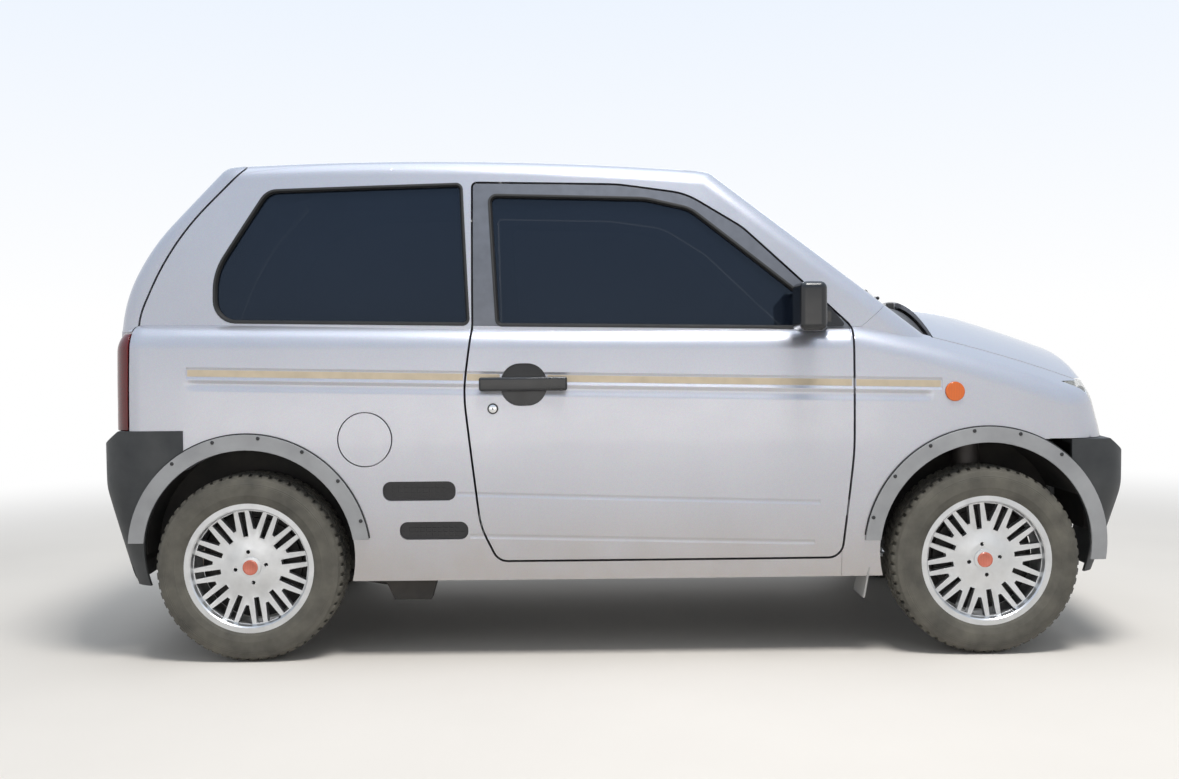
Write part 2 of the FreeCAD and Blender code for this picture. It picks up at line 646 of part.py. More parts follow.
WIPER_X = 985.0
WIPER_SHAFT_R = 12.0
WIPERS = [(-40.0, -80.0, -560.0), (400.0, 370.0, -40.0)]
cowl_holes = []
for hub_y, blade_from, blade_to in WIPERS:
    low_z = cowl_z(WIPER_X, hub_y) - 30
    cowl_holes.append(Part.makeCylinder(WIPER_SHAFT_R + 0.3, 60, Vector(WIPER_X, hub_y, low_z)))
piece("cowl_panel", keep_largest(cowl).cut(cowl_holes))

lamp_depth = 60.0
lamp_block = nose_solid.cut(front_body(lamp_depth, lamp_depth))
lamp_zone_right = front_prism([(-LAMP_OUTER_Y, LAMP_LOW_Z + 1, 18), (-LAMP_OUTER_Y, HOOD_LIP_Z - SHUT, 18),
                               (-LAMP_INNER_Y, HOOD_LIP_Z - SHUT, 18), (-LAMP_INNER_Y, LAMP_LOW_Z + 1, 18)],
                              1450, 1800)
lamp = lamp_block.common(lamp_zone_right).cut(front_bumper_clear)
piece("headlamps", Part.makeCompound([keep_largest(lamp), mirrored(keep_largest(lamp))]))

grille_half = LAMP_INNER_Y - 1
grille_bar = 12.0
grille_slots = 5
grille = nose_solid.cut(front_body(30, 30)).common(
    box(1450, 1800, -grille_half, grille_half, LAMP_LOW_Z + 1, HOOD_LIP_Z - SHUT)).cut(front_bumper_clear)
slot_pitch = (HOOD_LIP_Z - SHUT - LAMP_LOW_Z - 1 - grille_bar) / grille_slots
for index in range(grille_slots):
    z0 = LAMP_LOW_Z + 1 + grille_bar + index * slot_pitch
    for y0, y1 in ((-grille_half + 14, -6), (6, grille_half - 14)):
        grille = grille.cut(box(1450, 1800, y0, y1, z0, z0 + slot_pitch - grille_bar))
piece("grille", keep_largest(grille))

# Bumpers and wheel-arch mouldings

PLATE_BOLT_R = 3.3
PLATE_BOLT_Y = 105.0
FRONT_PLATE_Z = 585.0
REAR_PLATE_Z = 622.0
MOULD_OUT = size("arch_radius") + size("moulding_width")
mould_wall = lower_width(-size("moulding_stand"))
front_shell = front_bumper_solid.cut([front_bumper_room, arches[0],
                                      box(1200, FRONT_X + 270, -FAR, FAR, 100, 700)])
intake = front_prism([(-330, 330, 20), (-330, 420, 20), (330, 420, 20), (330, 330, 20)], 1500, 1800)


def plate_bolts(start_x, z):
    """Drills for the two bolts of a number plate, through a bumper's face."""
    return [Part.makeCylinder(PLATE_BOLT_R, 300, Vector(start_x, y, z), Vector(1, 0, 0))
            for y in (-PLATE_BOLT_Y, PLATE_BOLT_Y)]


front_back = box(0, BUMPER_BACK_X, -640, 640, 0, 800)
rear_back = box(-BUMPER_BACK_X - 0.5, 0, -645, 645, 0, 800)
front_shell = keep_largest(front_shell.cut([intake, front_back] + plate_bolts(1500, FRONT_PLATE_Z)))
rear_shell = rear_bumper_solid.cut([rear_bumper_room, arches[1],
                                    box(REAR_X - 200, 0, -FAR, FAR, 100, 760)])
rear_shell = keep_largest(rear_shell.cut([rear_back] + plate_bolts(-1800, REAR_PLATE_Z)))

mouldings = []
for axle_x, z_ahead, z_behind, sign in ((FRONT_X, 300.0, 372.0, 1), (REAR_X, 392.0, 385.0, -1)):
    ring = arch_rod(axle_x, MOULD_OUT, -FAR, -600).cut(arches[0 if sign > 0 else 1])
    ring = ring.common(mould_wall)
    ring = ring.cut([box(axle_x, axle_x + 500, -FAR, FAR, 0, z_ahead),
                     box(axle_x - 500, axle_x, -FAR, FAR, 0, z_behind)])
    ring = ring.cut([lower_width(SEAM - 1.0), box(-1800, 1800, -600, 0, 0, 1400)])
    ring = keep_largest(ring.cut([front_bumper_solid, rear_bumper_solid]))
    mouldings += [ring, mirrored(ring)]
piece("arch_mouldings", Part.makeCompound(mouldings))
piece("front_bumper", front_shell)
piece("rear_bumper", rear_shell)

VENT_COLUMNS, VENT_ROWS, VENT_RIM, VENT_BAR = 11, 3, 8.0, 4.4
vents = []
for x0, x1, z0, z1 in VENTS.values():
    grid = flank_shell(-VENT_DEPTH + 5, VENT_DEPTH, stadium(x0, x1, z0, z1, VENT_CORNER), -1, -0.4)
    step_x = (x1 - x0 - 2 * VENT_RIM) / VENT_COLUMNS
    step_z = (z1 - z0 - 2 * VENT_RIM) / VENT_ROWS
    holes = []
    for column in range(VENT_COLUMNS):
        for line in range(VENT_ROWS):
            hole_x = x0 + VENT_RIM + (column + 0.5) * step_x
            hole_z = z0 + VENT_RIM + (line + 0.5) * step_z
            if abs(hole_x - (x0 + x1) / 2) > (x1 - x0) / 2 - 22 and line != 1:
                continue
            half_x = step_x / 2 - VENT_BAR / 2
            half_z = step_z / 2 - VENT_BAR / 2
            holes.append(box(hole_x - half_x, hole_x + half_x, -FAR, -500, hole_z - half_z, hole_z + half_z))
    grid = grid.cut(holes)
    vents += [grid, mirrored(grid)]
piece("quarter_vents", Part.makeCompound(vents))

flap_sheet = cross_prism([(826, 362), (832, 362), (800, 184), (794, 184)], 715)
mud_flap = flap_sheet.common(box(700, 900, -705, -560, 150, 500)).cut(wing)
piece("mud_flaps", Part.makeCompound([mud_flap, mirrored(mud_flap)]))

# Glass

GLASS_IN = size("glass_inset")
GLASS_T = size("glass_thickness")
side_glass = upper_width(GLASS_IN).cut(upper_width(GLASS_IN + GLASS_T))
windscreen = screen_turned(5).cut(screen_turned(5 + GLASS_T))
windscreen = windscreen.common(front_prism(WINDSCREEN, 150, 1500, -0.4)).cut(cowl_low)
quarter = side_glass.common(side_prism(QUARTER_GLASS, -1, 400.0, FAR, -0.4))
piece("fixed_glass", Part.makeCompound([keep_largest(windscreen), quarter, mirrored(quarter)]))
for side, sign in SIDES.items():
    piece("door_glass_" + side, side_glass.common(side_prism(DOOR_GLASS, sign, 400.0, FAR, -0.4)))
tail_pane = tail_turned(6).cut(tail_turned(6 + GLASS_T)).common(front_prism(REAR_GLASS, -1800, -1100, -0.4))
piece("tailgate_glass", keep_largest(tail_pane))

# Handles, mirrors and wipers


def soft_box(x0, x1, y0, y1, z0, z1, radius):
    block = box(x0, x1, y0, y1, z0, z1)
    return block.makeFillet(radius, block.Edges)


def placed(shape, pivot, axis, degrees):
    turned_copy = shape.copy()
    turned_copy.rotate(Vector(*pivot), Vector(*axis), degrees)
    return turned_copy


handle_cup = flank_shell(-21.0, 26.0, stadium(-359, -212, 814, 949, 62), -1, -0.4)
handle_bar = soft_box(-426, -147, -757, -739, 862, 906, 8)
handle_posts = box(-415, -385, -745, -723, 868, 900).fuse(box(-190, -160, -745, -722, 868, 900))
handle_link = box(-300, -270, -745, -690, 874, 894)
handle = handle_bar.fuse([handle_posts, handle_link.cut(lower_width(24))])
handle_posts_cut = lower_width(0).cut(cross_rod(-285.5, 881.5, 60, -FAR, -600))
handle = handle.cut(handle_posts_cut)
handle = keep_largest(handle.fuse(handle_cup))
lock_disc = flank_shell(2.0, LOCK_DEPTH, stadium(*LOCK_BOX, LOCK_R), -1)
handle = Part.makeCompound([handle, lock_disc])
piece("handle_right", handle)
piece("handle_left", mirrored(handle))

mirror_foot = side_prism([(606, 1056, 8), (752, 1056, 8), (700, 1118, 20), (606, 1180, 8)], -1, 640.0)
mirror_foot = mirror_foot.common(upper_width(-6).cut(upper_width(-0.3)))
mirror_head = soft_box(567, 651, -888, -718, 1040, 1192, 22)
mirror_arm = box(606, 690, -735, -660, 1070, 1104).cut(upper_width(-4))
mirror_set = keep_largest(mirror_head.fuse([mirror_arm, mirror_foot]))
piece("mirror_right", mirror_set)
piece("mirror_left", mirrored(mirror_set))


def screen_point(y, z, stand):
    """Point on the windscreen at a height, standing off its surface."""
    radius = 1430.7 + 1900 - (z - 750) * 1330.7 / 1047 + stand * 1.27
    return Vector(math.sqrt(radius ** 2 - y ** 2) - 1900, y, z)


wipers = []
for hub_y, blade_from, blade_to in WIPERS:
    stations = [blade_from + (blade_to - blade_from) * step / 5 for step in range(6)]
    blade = [screen_point(y, 1166 - abs(y) * 0.03, 8.0) for y in stations]
    foot = Vector(WIPER_X, hub_y, cowl_z(WIPER_X, hub_y) - 14)
    top = foot + Vector(0, 0, 44)
    middle = screen_point(stations[2], 1182, 26.0)
    arm = [rod(top - Vector(0, 0, 7), middle, 6), Part.makeSphere(8.2, middle), rod(middle, blade[2], 6)]
    wiper = rod(foot, top, WIPER_SHAFT_R).fuse(arm)
    for start, end in zip(blade, blade[1:]):
        wiper = wiper.fuse([rod(start, end, 5), Part.makeSphere(5.8, end)])
    wipers.append(wiper)
piece("wipers", Part.makeCompound(wipers))

# Cabin

FLOOR_Z = size("floor_height")
FLOOR_T = size("floor_thickness")
REAR_FLOOR_Z = 430.0
KICK_X = -560.0
WELL_IN_Y = 516.0
WELL_R = size("liner_radius")
LINER_T = 4.0
floor_line = [(SPLIT_X + 12, FLOOR_Z), (SPLIT_X + 12, FLOOR_Z + FLOOR_T), (KICK_X, FLOOR_Z + FLOOR_T),
              (KICK_X - 60, REAR_FLOOR_Z + FLOOR_T), (-1564, REAR_FLOOR_Z + FLOOR_T),
              (-1564, REAR_BUMPER_TOP - 1), (-1576, REAR_BUMPER_TOP - 1), (-1576, 300), (-1564, 300),
              (-1564, REAR_FLOOR_Z), (KICK_X - 69, REAR_FLOOR_Z), (KICK_X - 9, FLOOR_Z)]
floor_room = lower_width(size("door_thickness") + 0.4).common(tail_turned(20))
floor = cross_prism(floor_line).common(floor_room)
floor = floor.cut([box(-1600, -1560, -FAR, -641, 460, 800), box(-1600, -1560, 641, FAR, 460, 800)])
tunnel = box(-480, SPLIT_X + 12, -112, 112, FLOOR_Z, 345).cut(box(-500, 800, -100, 100, 0, 333))
floor = floor.cut(box(-480, 800, -100, 100, 0, 333)).fuse(tunnel)
well = arch_rod(REAR_X, WELL_R + LINER_T, -FAR, -WELL_IN_Y)
wells = well.fuse(mirrored(well))
well_hole = arch_rod(REAR_X, WELL_R, -FAR, -WELL_IN_Y - LINER_T)
well_holes = well_hole.fuse(mirrored(well_hole))
wells = wells.common(floor_room).common(box(-1576, 0, -FAR, FAR, 336, 800))
floor = floor.fuse(wells).cut(well_holes)
firewall = box(SPLIT_X + 12, SPLIT_X + 24, -630, 630, FLOOR_Z, 1078)
firewall = firewall.common(front_body(size("fender_thickness") + 1, size("hood_thickness") + 30))
JACK_PADS = [(x, sign * 590.0) for x in (560.0, -480.0) for sign in (-1, 1)]
JACK_PAD_Z = FLOOR_Z - 7
jack_pads = [box(x - 40, x + 40, y - 22, y + 22, JACK_PAD_Z, FLOOR_Z + 1) for x, y in JACK_PADS]
piece("floor_pan", keep_largest(floor.fuse([firewall] + jack_pads)))

dash_section = [(745, 700, 20), (745, 1040, 30), (640, 1062, 60), (545, 1020, 40), (560, 900, 40),
                (640, 760, 60)]
dash = cross_prism(dash_section, 622)
dash = dash.cut(box(480, 800, -470, -210, 600, 905))
column_axis = Vector(-0.9, 0, 0.4359)
DRIVER_Y = size("driver_y")
wheel_centre = Vector(330, DRIVER_Y, 985)
dash = dash.cut(rod(wheel_centre - column_axis * 400, wheel_centre, 16.5))
piece("dashboard", keep_largest(dash))


def seat(centre_y, width, front_x, back_x, cushion_z, back_top, headrests):
    """Cushion, reclined back and headrests of one seat, on its low base."""
    half = width / 2
    cushion = soft_box(back_x, front_x, centre_y - half, centre_y + half, cushion_z, cushion_z + 130, 35)
    back = soft_box(back_x - 20, back_x + 90, centre_y - half, centre_y + half, cushion_z + 60, back_top, 35)
    back = placed(back, (back_x + 35, 0, cushion_z + 90), (0, 1, 0), -16)
    parts = [back]
    for offset in headrests:
        rest = soft_box(back_x - 5, back_x + 65, centre_y + offset - 125, centre_y + offset + 125,
                        back_top - 20, back_top + 120, 28)
        parts.append(placed(rest, (back_x + 35, 0, cushion_z + 90), (0, 1, 0), -16))
    return cushion.fuse(parts)


front_seats = []
for centre_y in (-340.0, 340.0):
    one = seat(centre_y, 450, 190, -300, 370, 930, [0])
    base = box(-220, 120, centre_y - 190, centre_y + 190, FLOOR_Z + FLOOR_T, 410)
    front_seats.append(one.fuse(base))
piece("front_seats", Part.makeCompound(front_seats))
rear_seat = seat(0, 1000, -560, -940, REAR_FLOOR_Z + FLOOR_T, 850, [-260, 260])
piece("rear_seat", rear_seat)

ring = Part.makeTorus(size("steering_wheel_radius"), 14, Vector(0, 0, 0), Vector(0, 0, 1))
boss = Part.makeCylinder(48, 46, Vector(0, 0, -30))
steering = ring.fuse(boss)
for degrees in (90, 210, 330):
    spoke = box(30, size("steering_wheel_radius"), -18, 18, -10, 2)
    spoke.rotate(Vector(0, 0, 0), Vector(0, 0, 1), degrees)
    steering = steering.fuse(spoke)
steering = steering.fuse(Part.makeCylinder(16, 345, Vector(0, 0, -370)))
steering.rotate(Vector(0, 0, 0), Vector(0, 1, 0), -math.degrees(math.acos(column_axis.z)))
steering.translate(wheel_centre)
piece("steering_wheel", steering)

# Chassis

ENGINE_X = 905.0
engine = doc.addObject("Part::Box", "engine_block")
engine.Label = "engine_block"
for name, cell in (("Length", "engine_length"), ("Width", "engine_width"), ("Height", "engine_height")):
    engine.setExpression(name, "sizes." + cell)
engine.Placement = Placement(Vector(ENGINE_X, -size("engine_width") / 2, 300), Rotation())
pieces.append(engine)

RAIL_Y = 352.0
RAIL_BACK_X = SPLIT_X + 24.4
SUPPORT_X = BUMPER_BACK_X - 17
rail = box(RAIL_BACK_X, SUPPORT_X, -RAIL_Y, -RAIL_Y + 50, 380, 450)
rails = rail.fuse(mirrored(rail))
LINER_IN_Y = 382.0
liner = arch_rod(FRONT_X, WELL_R + LINER_T, -690, -LINER_IN_Y)
liner = liner.cut(arch_rod(FRONT_X, WELL_R, -FAR, -LINER_IN_Y - LINER_T))
liner = liner.common(box(800, 1800, -FAR, FAR, 330, 900)).common(
    front_body(size("fender_thickness") + 0.4, size("hood_thickness") + 20))
axle_window = box(FRONT_X - 90, FRONT_X + 90, -LINER_IN_Y - 5, -LINER_IN_Y + 1, 100, 440)
liner = liner.cut([axle_window, box(1500, 1800, -FAR, FAR, 0, 900), front_shell])
tower_top = Part.makeCylinder(78, 14, Vector(FRONT_X, -462, 788))
liner = liner.fuse(tower_top.common(box(0, 2000, -FAR, FAR, 0, 900)))
tower_legs = box(FRONT_X - 70, FRONT_X + 70, -386, -370, 600, 802)
tower_link = box(FRONT_X - 70, FRONT_X + 70, -386, -RAIL_Y + 20, 400, 450)
apron = liner.fuse([tower_legs, box(FRONT_X - 70, FRONT_X + 70, -470, -370, 788, 802), tower_link])
apron = apron.cut(rod(Vector(FRONT_X, -500, 470), Vector(FRONT_X, -472, 786), 62))

TOW_Y, TOW_Z, TOW_EYE_R = 330.0, 226.0, 12.5
WINDOW_HALF, WINDOW_LOW_Z, WINDOW_TOP_Z = 302.0, 430.0, 650.0
support = box(SUPPORT_X, SUPPORT_X + 16, -560, 560, 380, 661.6)
window = box(SUPPORT_X - 60, SUPPORT_X + 40, -WINDOW_HALF, WINDOW_HALF, WINDOW_LOW_Z, WINDOW_TOP_Z)
support = support.cut(window)
lug_back_x = SUPPORT_X - 44
tow_lug = side_prism([(lug_back_x, 200, 20), (SUPPORT_X, 200, 20), (SUPPORT_X, 381), (lug_back_x, 381)],
                     -1, TOW_Y - 6, TOW_Y + 6)
tow_lug = tow_lug.cut(cross_rod(SUPPORT_X - 22, TOW_Z, TOW_EYE_R, -TOW_Y - 20, -TOW_Y + 20))
cross_member = box(RAIL_BACK_X, RAIL_BACK_X + 35.6, -RAIL_Y, RAIL_Y, 380, 450)
piece("front_end", rails.fuse([support, tow_lug, cross_member]))
apron = apron.cut([rail, support])
piece("wheel_liners", Part.makeCompound([apron, mirrored(apron)]))
tank_half = WINDOW_HALF - 0.3
radiator_tank = box(SUPPORT_X - 15, SUPPORT_X + 12, -tank_half, -tank_half + 11.7, WINDOW_LOW_Z + 0.3,
                    WINDOW_TOP_Z - 0.3)
radiator = box(SUPPORT_X - 20, SUPPORT_X + 14, -290, 290, WINDOW_LOW_Z + 10, WINDOW_TOP_Z - 10)
piece("radiator", radiator.fuse([radiator_tank, mirrored(radiator_tank)]))

KING_LOW = Vector(FRONT_X, -size("kingpin_low_y"), 170)
KING_HIGH = Vector(FRONT_X, -size("kingpin_high_y"), 780)
king_axis = (KING_HIGH - KING_LOW).normalize()


def on_king(z):
    return KING_LOW + king_axis * ((z - 170) / king_axis.z)


subframe = box(1040, 1330, -300, 300, 215, 250).cut(box(1090, 1280, -240, 240, 200, 260))
arms = []
for pivot_x in (FRONT_X - 110, FRONT_X + 110):
    arms.append(rod(Vector(pivot_x, -292, 232), on_king(196) + Vector(0, 12, 0), 13))
arms.append(Part.makeCylinder(24, 28, on_king(196) + Vector(0, 0, -16)))
arms.append(box(FRONT_X - 130, FRONT_X - 90, -300, -270, 214, 250))
arms.append(box(FRONT_X + 90, FRONT_X + 130, -300, -270, 214, 250))
arm_right = arms[0].fuse(arms[1:])
arm_right = arm_right.cut([Part.makeSphere(13.3, on_king(196)), rod(on_king(196), on_king(240), 9)])
hangers = []
for hanger_x in (1040, 1290):
    post = box(hanger_x, hanger_x + 40, -RAIL_Y, -RAIL_Y + 50, 215, 380)
    hanger = post.fuse(box(hanger_x, hanger_x + 40, -RAIL_Y, -290, 215, 250))
    hangers += [hanger, mirrored(hanger)]
suspension = subframe.fuse([arm_right, mirrored(arm_right)] + hangers)
piece("front_suspension", keep_largest(suspension))

upright = box(FRONT_X - 38, FRONT_X + 38, -606, -572, 214, 400)
spindle = cross_rod(FRONT_X, WHEEL_Z, 30, -WHEEL_Y - 13, -560)
flange = cross_rod(FRONT_X, WHEEL_Z, 66, -WHEEL_Y - 13.5, -WHEEL_Y - 2)
pilot = cross_rod(FRONT_X, WHEEL_Z, 27, -WHEEL_Y - 36, -WHEEL_Y)
ball = Part.makeSphere(13, on_king(196)).fuse(rod(on_king(196), on_king(236), 8))
strut = rod(Vector(FRONT_X, -508, 385), Vector(FRONT_X, -472, 783), 24)
strut_link = box(FRONT_X - 30, FRONT_X + 30, -590, -500, 372, 408)
boot = rod(Vector(FRONT_X, -489, 585), Vector(FRONT_X, -474, 750), 46)
knuckle = upright.fuse([spindle, flange, pilot, strut, strut_link, boot, ball])
piece("knuckle_right", knuckle)
piece("knuckle_left", mirrored(knuckle))

axle = cross_rod(REAR_X, WHEEL_Z, 30, -560, 560)
for sign in (-1, 1):
    axle = axle.fuse(cross_rod(REAR_X, WHEEL_Z, 66, sign * (WHEEL_Y + 2), sign * (WHEEL_Y + 13.5)))
    axle = axle.fuse(cross_rod(REAR_X, WHEEL_Z, 30, sign * 550, sign * (WHEEL_Y + 5)))
    axle = axle.fuse(cross_rod(REAR_X, WHEEL_Z, 27, sign * WHEEL_Y, sign * (WHEEL_Y + 36)))
    arm = rod(Vector(-668, sign * 548, 215), Vector(REAR_X, sign * 470, 285), 17)
    bracket = cross_prism([(-760, 258), (-578, 258), (-603, 177), (-722, 177)], 30)
    bracket.translate(Vector(0, sign * 590, 0))
    bush = cross_rod(-668, 215, 24, sign * 525, sign * 575)
    spring = Part.makeCylinder(52, 112, Vector(REAR_X - 10, sign * 440, 318))
    damper = rod(Vector(REAR_X - 60, sign * 400, 270), Vector(REAR_X - 130, sign * 400, 425), 20)
    lug = box(REAR_X - 85, REAR_X, sign * 400 - 14, sign * 400 + 14, 255, 300)
    axle = axle.fuse([arm, bracket, bush, spring, damper, lug])
axle = axle.cut(box(-1620, -500, -FAR, FAR, REAR_FLOOR_Z - 0.3, 700))
piece("rear_suspension", keep_largest(axle))

pipe_points = [Vector(878, 150, 360), Vector(862, 150, 262), Vector(822, 150, 226),
               Vector(-1020, 150, 226), Vector(-1300, 150, 262)]
PIPE_R = 21.0
engine_port = Vector(ENGINE_X - 0.3, 150, 360)
exhaust = rod(pipe_points[0], engine_port, PIPE_R)
exhaust = exhaust.fuse([Part.makeSphere(PIPE_R, pipe_points[0]), rod(pipe_points[0], pipe_points[1], PIPE_R)])
for start, end in zip(pipe_points[1:], pipe_points[2:]):
    exhaust = exhaust.fuse([rod(start, end, PIPE_R), Part.makeSphere(PIPE_R, start)])
muffler = soft_box(-1560, -1290, -200, 250, 200, 330, 40)
tail_start, tail_end = Vector(-1545, -120, 224), Vector(-1672, -120, 210)
tail_run = tail_end - tail_start
tail_pipe = rod(tail_start, tail_end, PIPE_R - 2)
muffler_hanger = box(-1450, -1420, -10, 10, 320, REAR_FLOOR_Z)
pipe_hanger = box(440, 470, 130, 170, 228, FLOOR_Z)
exhaust = exhaust.fuse([muffler, tail_pipe, muffler_hanger, pipe_hanger])
exhaust = exhaust.cut(rod(tail_start + tail_run * 0.25, tail_start + tail_run * 1.06, PIPE_R - 5))
piece("exhaust", keep_largest(exhaust))
piece("fuel_tank", soft_box(-1010, -640, -420, 420, 270, REAR_FLOOR_Z - 0.5, 22))

# Wheels: rim with paired spokes and its tyre, turned about their own upright axis, then laid over


def origin_plane(body, role):
    return [feature for feature in body.Origin.OriginFeatures if feature.Role == role][0]


def sketch_outline(body, role, name, points):
    sketch = body.newObject("Sketcher::SketchObject", name)
    sketch.AttachmentSupport = [(origin_plane(body, role), "")]
    sketch.MapMode = "FlatFace"
    count = len(points)
    for index in range(count):
        start = Vector(points[index][0], points[index][1], 0)
        end = Vector(points[(index + 1) % count][0], points[(index + 1) % count][1], 0)
        sketch.addGeometry(Part.LineSegment(start, end), False)
    for index in range(count):
        sketch.addConstraint(Sketcher.Constraint("Coincident", index, 2, (index + 1) % count, 1))
    return sketch


def revolved_body(label, points):
    body = doc.addObject("PartDesign::Body", label)
    body.Label = label
    profile = sketch_outline(body, "XZ_Plane", label + "_profile", points)
    solid = body.newObject("PartDesign::Revolution", label + "_turned")
    solid.Profile = profile
    solid.ReferenceAxis = (profile, ["V_Axis"])
    solid.Angle = 360
    profile.Visibility = False
    doc.recompute()
    return body


def patterned_pocket(body, label, points, count):
    """One window cut through the disc, then repeated round the wheel's axis."""
    before = body.Shape.Volume
    outline = sketch_outline(body, "XY_Plane", label + "_outline", points)
    pocket = body.newObject("PartDesign::Pocket", label)
    pocket.Profile = outline
    pocket.Type = "Length"
    pocket.Length = 200
    pocket.Reversed = True
    doc.recompute()
    pattern = body.newObject("PartDesign::PolarPattern", label + "_round")
    pattern.Originals = [pocket]
    pattern.Axis = (origin_plane(body, "Z_Axis"), [""])
    pattern.Angle = 360
    pattern.Occurrences = int(count)
    body.Tip = pattern
    doc.recompute()
    if body.Shape.Volume > before - 1:
        raise ValueError(label + " cut nothing")


BEAD_HALF = 66.0
LIP_R = size("rim_radius") + 10
RIM_FACE = 77.0
FLANGE = 72.0
SEAT_R = size("rim_radius") - 0.3
HUB_R = size("hub_radius")
CAP_R = size("cap_radius")
RIM_PROFILE = [(SEAT_R, -FLANGE), (LIP_R, -FLANGE), (LIP_R, -RIM_FACE), (196, -RIM_FACE),
               (190, -60), (190, 30), (HUB_R + 26, 22), (HUB_R, 14), (28, 14), (28, 46), (0, 46), (0, 62),
               (CAP_R, 58), (CAP_R, 54), (HUB_R, 54), (HUB_R + 26, 48), (184, 56), (188, RIM_FACE - 4),
               (192, RIM_FACE), (LIP_R, RIM_FACE), (LIP_R, FLANGE), (SEAT_R, FLANGE)]
TREAD_HALF = 64.0
TYRE_HALF = size("tyre_width") / 2
TYRE_PROFILE = [(size("rim_radius"), -BEAD_HALF), (240, -TYRE_HALF), (282, -TYRE_HALF + 5),
                (TYRE_R, -TREAD_HALF), (TYRE_R, TREAD_HALF), (282, TYRE_HALF - 5), (240, TYRE_HALF),
                (size("rim_radius"), BEAD_HALF)]
SPOKE_TURN = 8.5
for axle_name, axle_x in (("front", FRONT_X), ("rear", REAR_X)):
    for side, sign in SIDES.items():
        tag = axle_name + "_" + side
        rim = revolved_body("rim_" + tag, RIM_PROFILE)
        pairs = size("spoke_pairs")
        step = math.radians(180 / pairs)
        patterned_pocket(rim, "slot_" + tag, [(99, -8), (181, -11), (181, 11), (99, 8)], pairs)
        wedge = []
        for reach, half in ((124, -5), (182, -23), (182, 23), (124, 5)):
            wedge.append((reach * math.cos(step) - half * math.sin(step),
                          reach * math.sin(step) + half * math.cos(step)))
        patterned_pocket(rim, "window_" + tag, wedge, pairs)
        lug_r = size("bolt_circle_radius")
        lug = [(lug_r + 6.5 * math.cos(math.radians(a)), 6.5 * math.sin(math.radians(a)))
               for a in range(15, 375, 30)]
        patterned_pocket(rim, "lug_" + tag, lug, 4)
        tyre = revolved_body("tyre_" + tag, TYRE_PROFILE)
        place = Placement(Vector(axle_x, sign * WHEEL_Y, WHEEL_Z),
                          Rotation(Vector(1, 0, 0), -90 * sign))
        spin = Placement(Vector(0, 0, 0), Rotation(Vector(0, 0, 1), SPOKE_TURN))
        rim.Placement = place.multiply(spin)
        tyre.Placement = place
        pieces += [rim, tyre]

doc.recompute()

os.makedirs("parts", exist_ok=True)
for made in pieces:
    if "Invalid" in made.State or "Error" in made.State:
        raise ValueError(made.Label + " failed to recompute")
    if made.Shape.isNull() or not made.Shape.isValid():
        raise ValueError(made.Label + " has no valid shape")
    made.Shape.exportStep("parts/%s.step" % made.Label)
    bounds = made.Shape.BoundBox
    print("%-22s %2d solids %9.1f cm3  x %.0f %.0f y %.0f %.0f z %.0f %.0f" % (
        made.Label, len(made.Shape.Solids), made.Shape.Volume / 1000, bounds.XMin, bounds.XMax,
        bounds.YMin, bounds.YMax, bounds.ZMin, bounds.ZMax))
print(len(pieces), "pieces written")
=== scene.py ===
import json
import math

import bpy
import bmesh
import numpy as np
from mathutils import Matrix, Vector


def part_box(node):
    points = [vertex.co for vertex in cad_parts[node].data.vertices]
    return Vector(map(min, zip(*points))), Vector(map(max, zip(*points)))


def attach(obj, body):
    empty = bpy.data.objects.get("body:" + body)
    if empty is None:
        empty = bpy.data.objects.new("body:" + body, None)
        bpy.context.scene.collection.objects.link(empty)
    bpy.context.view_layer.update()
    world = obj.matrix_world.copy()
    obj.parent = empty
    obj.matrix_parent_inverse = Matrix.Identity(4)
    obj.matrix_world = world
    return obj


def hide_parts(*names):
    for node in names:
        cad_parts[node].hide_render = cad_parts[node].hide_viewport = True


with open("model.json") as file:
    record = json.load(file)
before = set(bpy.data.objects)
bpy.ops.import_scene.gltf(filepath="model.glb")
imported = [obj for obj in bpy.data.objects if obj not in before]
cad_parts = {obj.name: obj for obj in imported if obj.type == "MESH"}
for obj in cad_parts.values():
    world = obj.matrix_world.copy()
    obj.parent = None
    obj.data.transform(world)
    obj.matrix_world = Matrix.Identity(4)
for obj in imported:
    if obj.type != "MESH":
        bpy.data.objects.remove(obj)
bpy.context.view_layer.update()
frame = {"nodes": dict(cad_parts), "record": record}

# Small three-door city car: smooth painted skin, glass, trim, wheels and cabin
# around the CAD frame. +X is forward, +Y is left, +Z is up, metres.

print("frame loaded", len(frame["nodes"]), "nodes")

sides = {"right": -1, "left": 1}
axles = {"front": 1.1875, "rear": -1.1725}
wheelY, wheelZ, archZ = 0.640, 0.302, 0.342
bodyNodes = frame["record"]["behaviour"]["bodies"]


def linked(name, data):
    # a new object of the scene that shows the data
    made = bpy.data.objects.new(name, data)
    bpy.context.scene.collection.objects.link(made)
    return made


# Camera: level with the belt, square to the right side, slightly tilted and rolled

camera = {"place": (-0.077, -4.615, 1.0), "pitch": 2.01, "roll": 0.62, "focal": 1226.0, "width": 1179.0}


def placeCamera():
    pitch, roll = math.radians(camera["pitch"]), math.radians(camera["roll"])
    forward = Vector((0, math.cos(pitch), -math.sin(pitch)))
    down = Vector((0, -math.sin(pitch), -math.cos(pitch)))
    across = Vector((1, 0, 0))
    right = across * math.cos(roll) + down * math.sin(roll)
    up = across * math.sin(roll) - down * math.cos(roll)
    data = bpy.data.cameras.new("camera")
    data.sensor_width = 36
    data.lens = camera["focal"] / camera["width"] * data.sensor_width
    eye = linked("camera", data)
    turn = Matrix((right, up, -forward)).transposed()
    eye.matrix_world = Matrix.Translation(camera["place"]) @ turn.to_4x4()
    bpy.context.scene.camera = eye


placeCamera()
print("camera placed")


# Node materials


